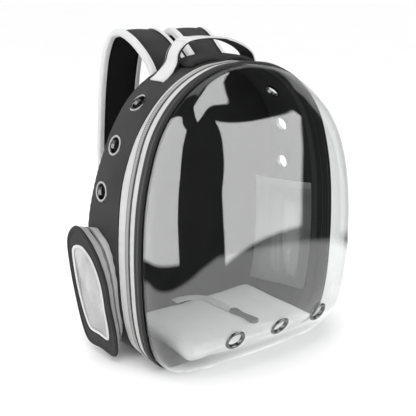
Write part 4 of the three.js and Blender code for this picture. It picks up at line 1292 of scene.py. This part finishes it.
def makeStraps():
    side = (1, 0, 0)
    path, web = strapPath(150), webPath(60)
    pieces = []
    pad = loft("strap_pad_right_cloth", sweepRings(path, side, padSection()), capped=True)
    pieces.append((pad, blackCloth, "black_cloth", "strap_pad"))
    for word, sign in (("outer", 1), ("inner", -1)):
        edge = loft(f"strap_edge_{word}_right", sweepRings(path, side, edgeSection(sign)), capped=True)
        pieces.append((edge, webbing, "light_webbing", f"strap_binding_{word}"))
    strip = roundedStrip(strap["web"], strap["webThick"])
    tail = loft("strap_webbing_right", sweepRings(web, side, strip), capped=True)
    pieces.append((tail, webbing, "light_webbing", "strap_web"))
    for piece, material, slot, node in pieces:
        twin = mirrorOf(piece, piece.name.replace("right", "left"))
        for made, word in ((piece, "right"), (twin, "left")):
            dress(made, material, slot, f"{node}_{word}")
            if node == "strap_pad":
                # The pad's underside takes the darker black, painted shade.
                recolourInside(made, 2 * strap["columns"], strap["columns"], blackClothShaded)


makeStraps()


def makeAdjusters():
    for node in ("strap_adjuster_right", "strap_adjuster_left"):
        piece = copyOf(node, node + "_moulded")
        modify(piece, "BEVEL", width=0.0007, segments=3, limit_method="ANGLE")
        dress(piece, blackPlastic, "black_plastic", node)


makeAdjusters()
print("stage: straps")

# Floor, lights and world
lights = [  # name, place, target, width, height, power
    ("left_panel", (-1.5, -0.35, 0.55), (0, -0.1, 0.2), 0.7, 1.0, 8),
    ("right_panel", (0.5, -1.9, 0.75), (0, -0.1, 0.2), 1.0, 1.1, 12),
    ("top_panel", (-0.5, -0.6, 1.7), (0, 0, 0.2), 0.7, 0.7, 6),
    ("back_panel_light", (0.4, 1.6, 1.4), (0, 0, 0.2), 1.2, 1.0, 8),
]
studio = {
    "panel": 3.4, "wall": 0.66, "table": 1.15, "dark": 0.02, "plain": 1.18,
    "tableEdge": -0.31, "tableTilt": 0.1, "sharpness": 50.0,
}
# Each patch is where shares of x, y and z and an offset sum to more than nought, in all of its rows.
patches = [
    ("panel", [(0, 1, -0.4, 0.44), (-1, 0, 0, 0), (-1, 0, -0.6, 0), (0, 0, -1, 0.81), (0, 0, 1, 0.31)]),
    ("panel", [(1, 0, -0.14, 0), (1, 0, 0.35, 0), (-0.664, -0.692, 0.289, 0.16), (0.55, -1, 0, -0.5),
               (-0.405, 0, -1, 0.95), (-1, 0, 0.09, 0.73), (-0.15, 0, 1, 0.38)]),
    ("panel", [(0, 0, 1, -0.86), (-1, 0, 0, 0.46), (1, 0, 0, 0.27), (0, 1, 0, 0.3), (0, -1, 0, 0.05)]),
    ("wall", [(0, 1, 0, 0.12), (0, 1, -0.5, 0.27), (1, 0, 0, -0.45), (0, 0, -1, 0.93), (0, 0, 1, 0.31)]),
    ("wall", [(0, 1, 0, -0.14), (-1, 0, 0, 0.45), (1, 0, 0, 0.1), (0, 0, 1, 0)]),
]


def makeFloor():
    only(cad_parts["gusset"])
    bpy.ops.mesh.primitive_plane_add(size=200, location=(0, 0, -0.0004))
    floor = bpy.context.object
    floor.name = "floor"
    floor.visible_glossy = False

    def paint(start):
        shade = noisy(start, 0.7, 1.0)
        return start.node("BsdfPrincipled", {"Base Color": blend(shade, 0.86, 0.88), "Roughness": 0.6})

    floor.data.materials.append(makeMaterial("floor_paint", paint))


def makeLamps():
    for name, place, target, width, height, power in lights:
        data = bpy.data.lights.new(name, "AREA")
        data.shape = "RECTANGLE"
        data.size, data.size_y, data.energy = width, height, power
        lamp = bpy.data.objects.new(name, data)
        lamp.location = place
        lamp.rotation_euler = (Vector(target) - Vector(place)).to_track_quat("-Z", "Y").to_euler()
        lamp.visible_glossy = False
        link(lamp)


def mirroredRoom(start):
    # What the shiny pieces mirror: bright panels at the left, in front and above, a pale wall behind,
    # a dark room between them, and the table below its edge.
    place = start.node("TexCoord", output=0)
    x, y, z = (place.axis(name) for name in "XYZ")

    def mask(distance):
        return (distance * studio["sharpness"]).clamped()

    def distance(shares, offset):
        parts = [axis * share for axis, share in zip((x, y, z), shares) if share]
        return sum(parts[1:], parts[0]) + offset

    tilt = start.maths("MINIMUM", studio["tableTilt"] * x, 0.0)
    room = studio["table"] * mask(studio["tableEdge"] + tilt - z) + studio["dark"]
    for level, rows in patches:
        masks = [mask(distance(row[:3], row[3])) for row in rows]
        room = room + studio[level] * math.prod(masks[1:], start=masks[0])
    return room


def makeWorld():
    world = bpy.data.worlds.new("studio")
    bpy.context.scene.world = world
    world.use_nodes = True
    world.node_tree.nodes.clear()
    start = Shade(world.node_tree)
    mirrored = start.node("LightPath", output="Is Glossy Ray")
    glossy = start.node("Background", {"Color": grey(1), "Strength": mirroredRoom(start)})
    plain = start.node("Background", {"Color": grey(1), "Strength": studio["plain"]})
    start.node("OutputWorld", {0: start.node("MixShader", {0: mirrored, 1: plain, 2: glossy})})
    bpy.context.scene.view_settings.view_transform = "Standard"


makeFloor()
makeLamps()
makeWorld()
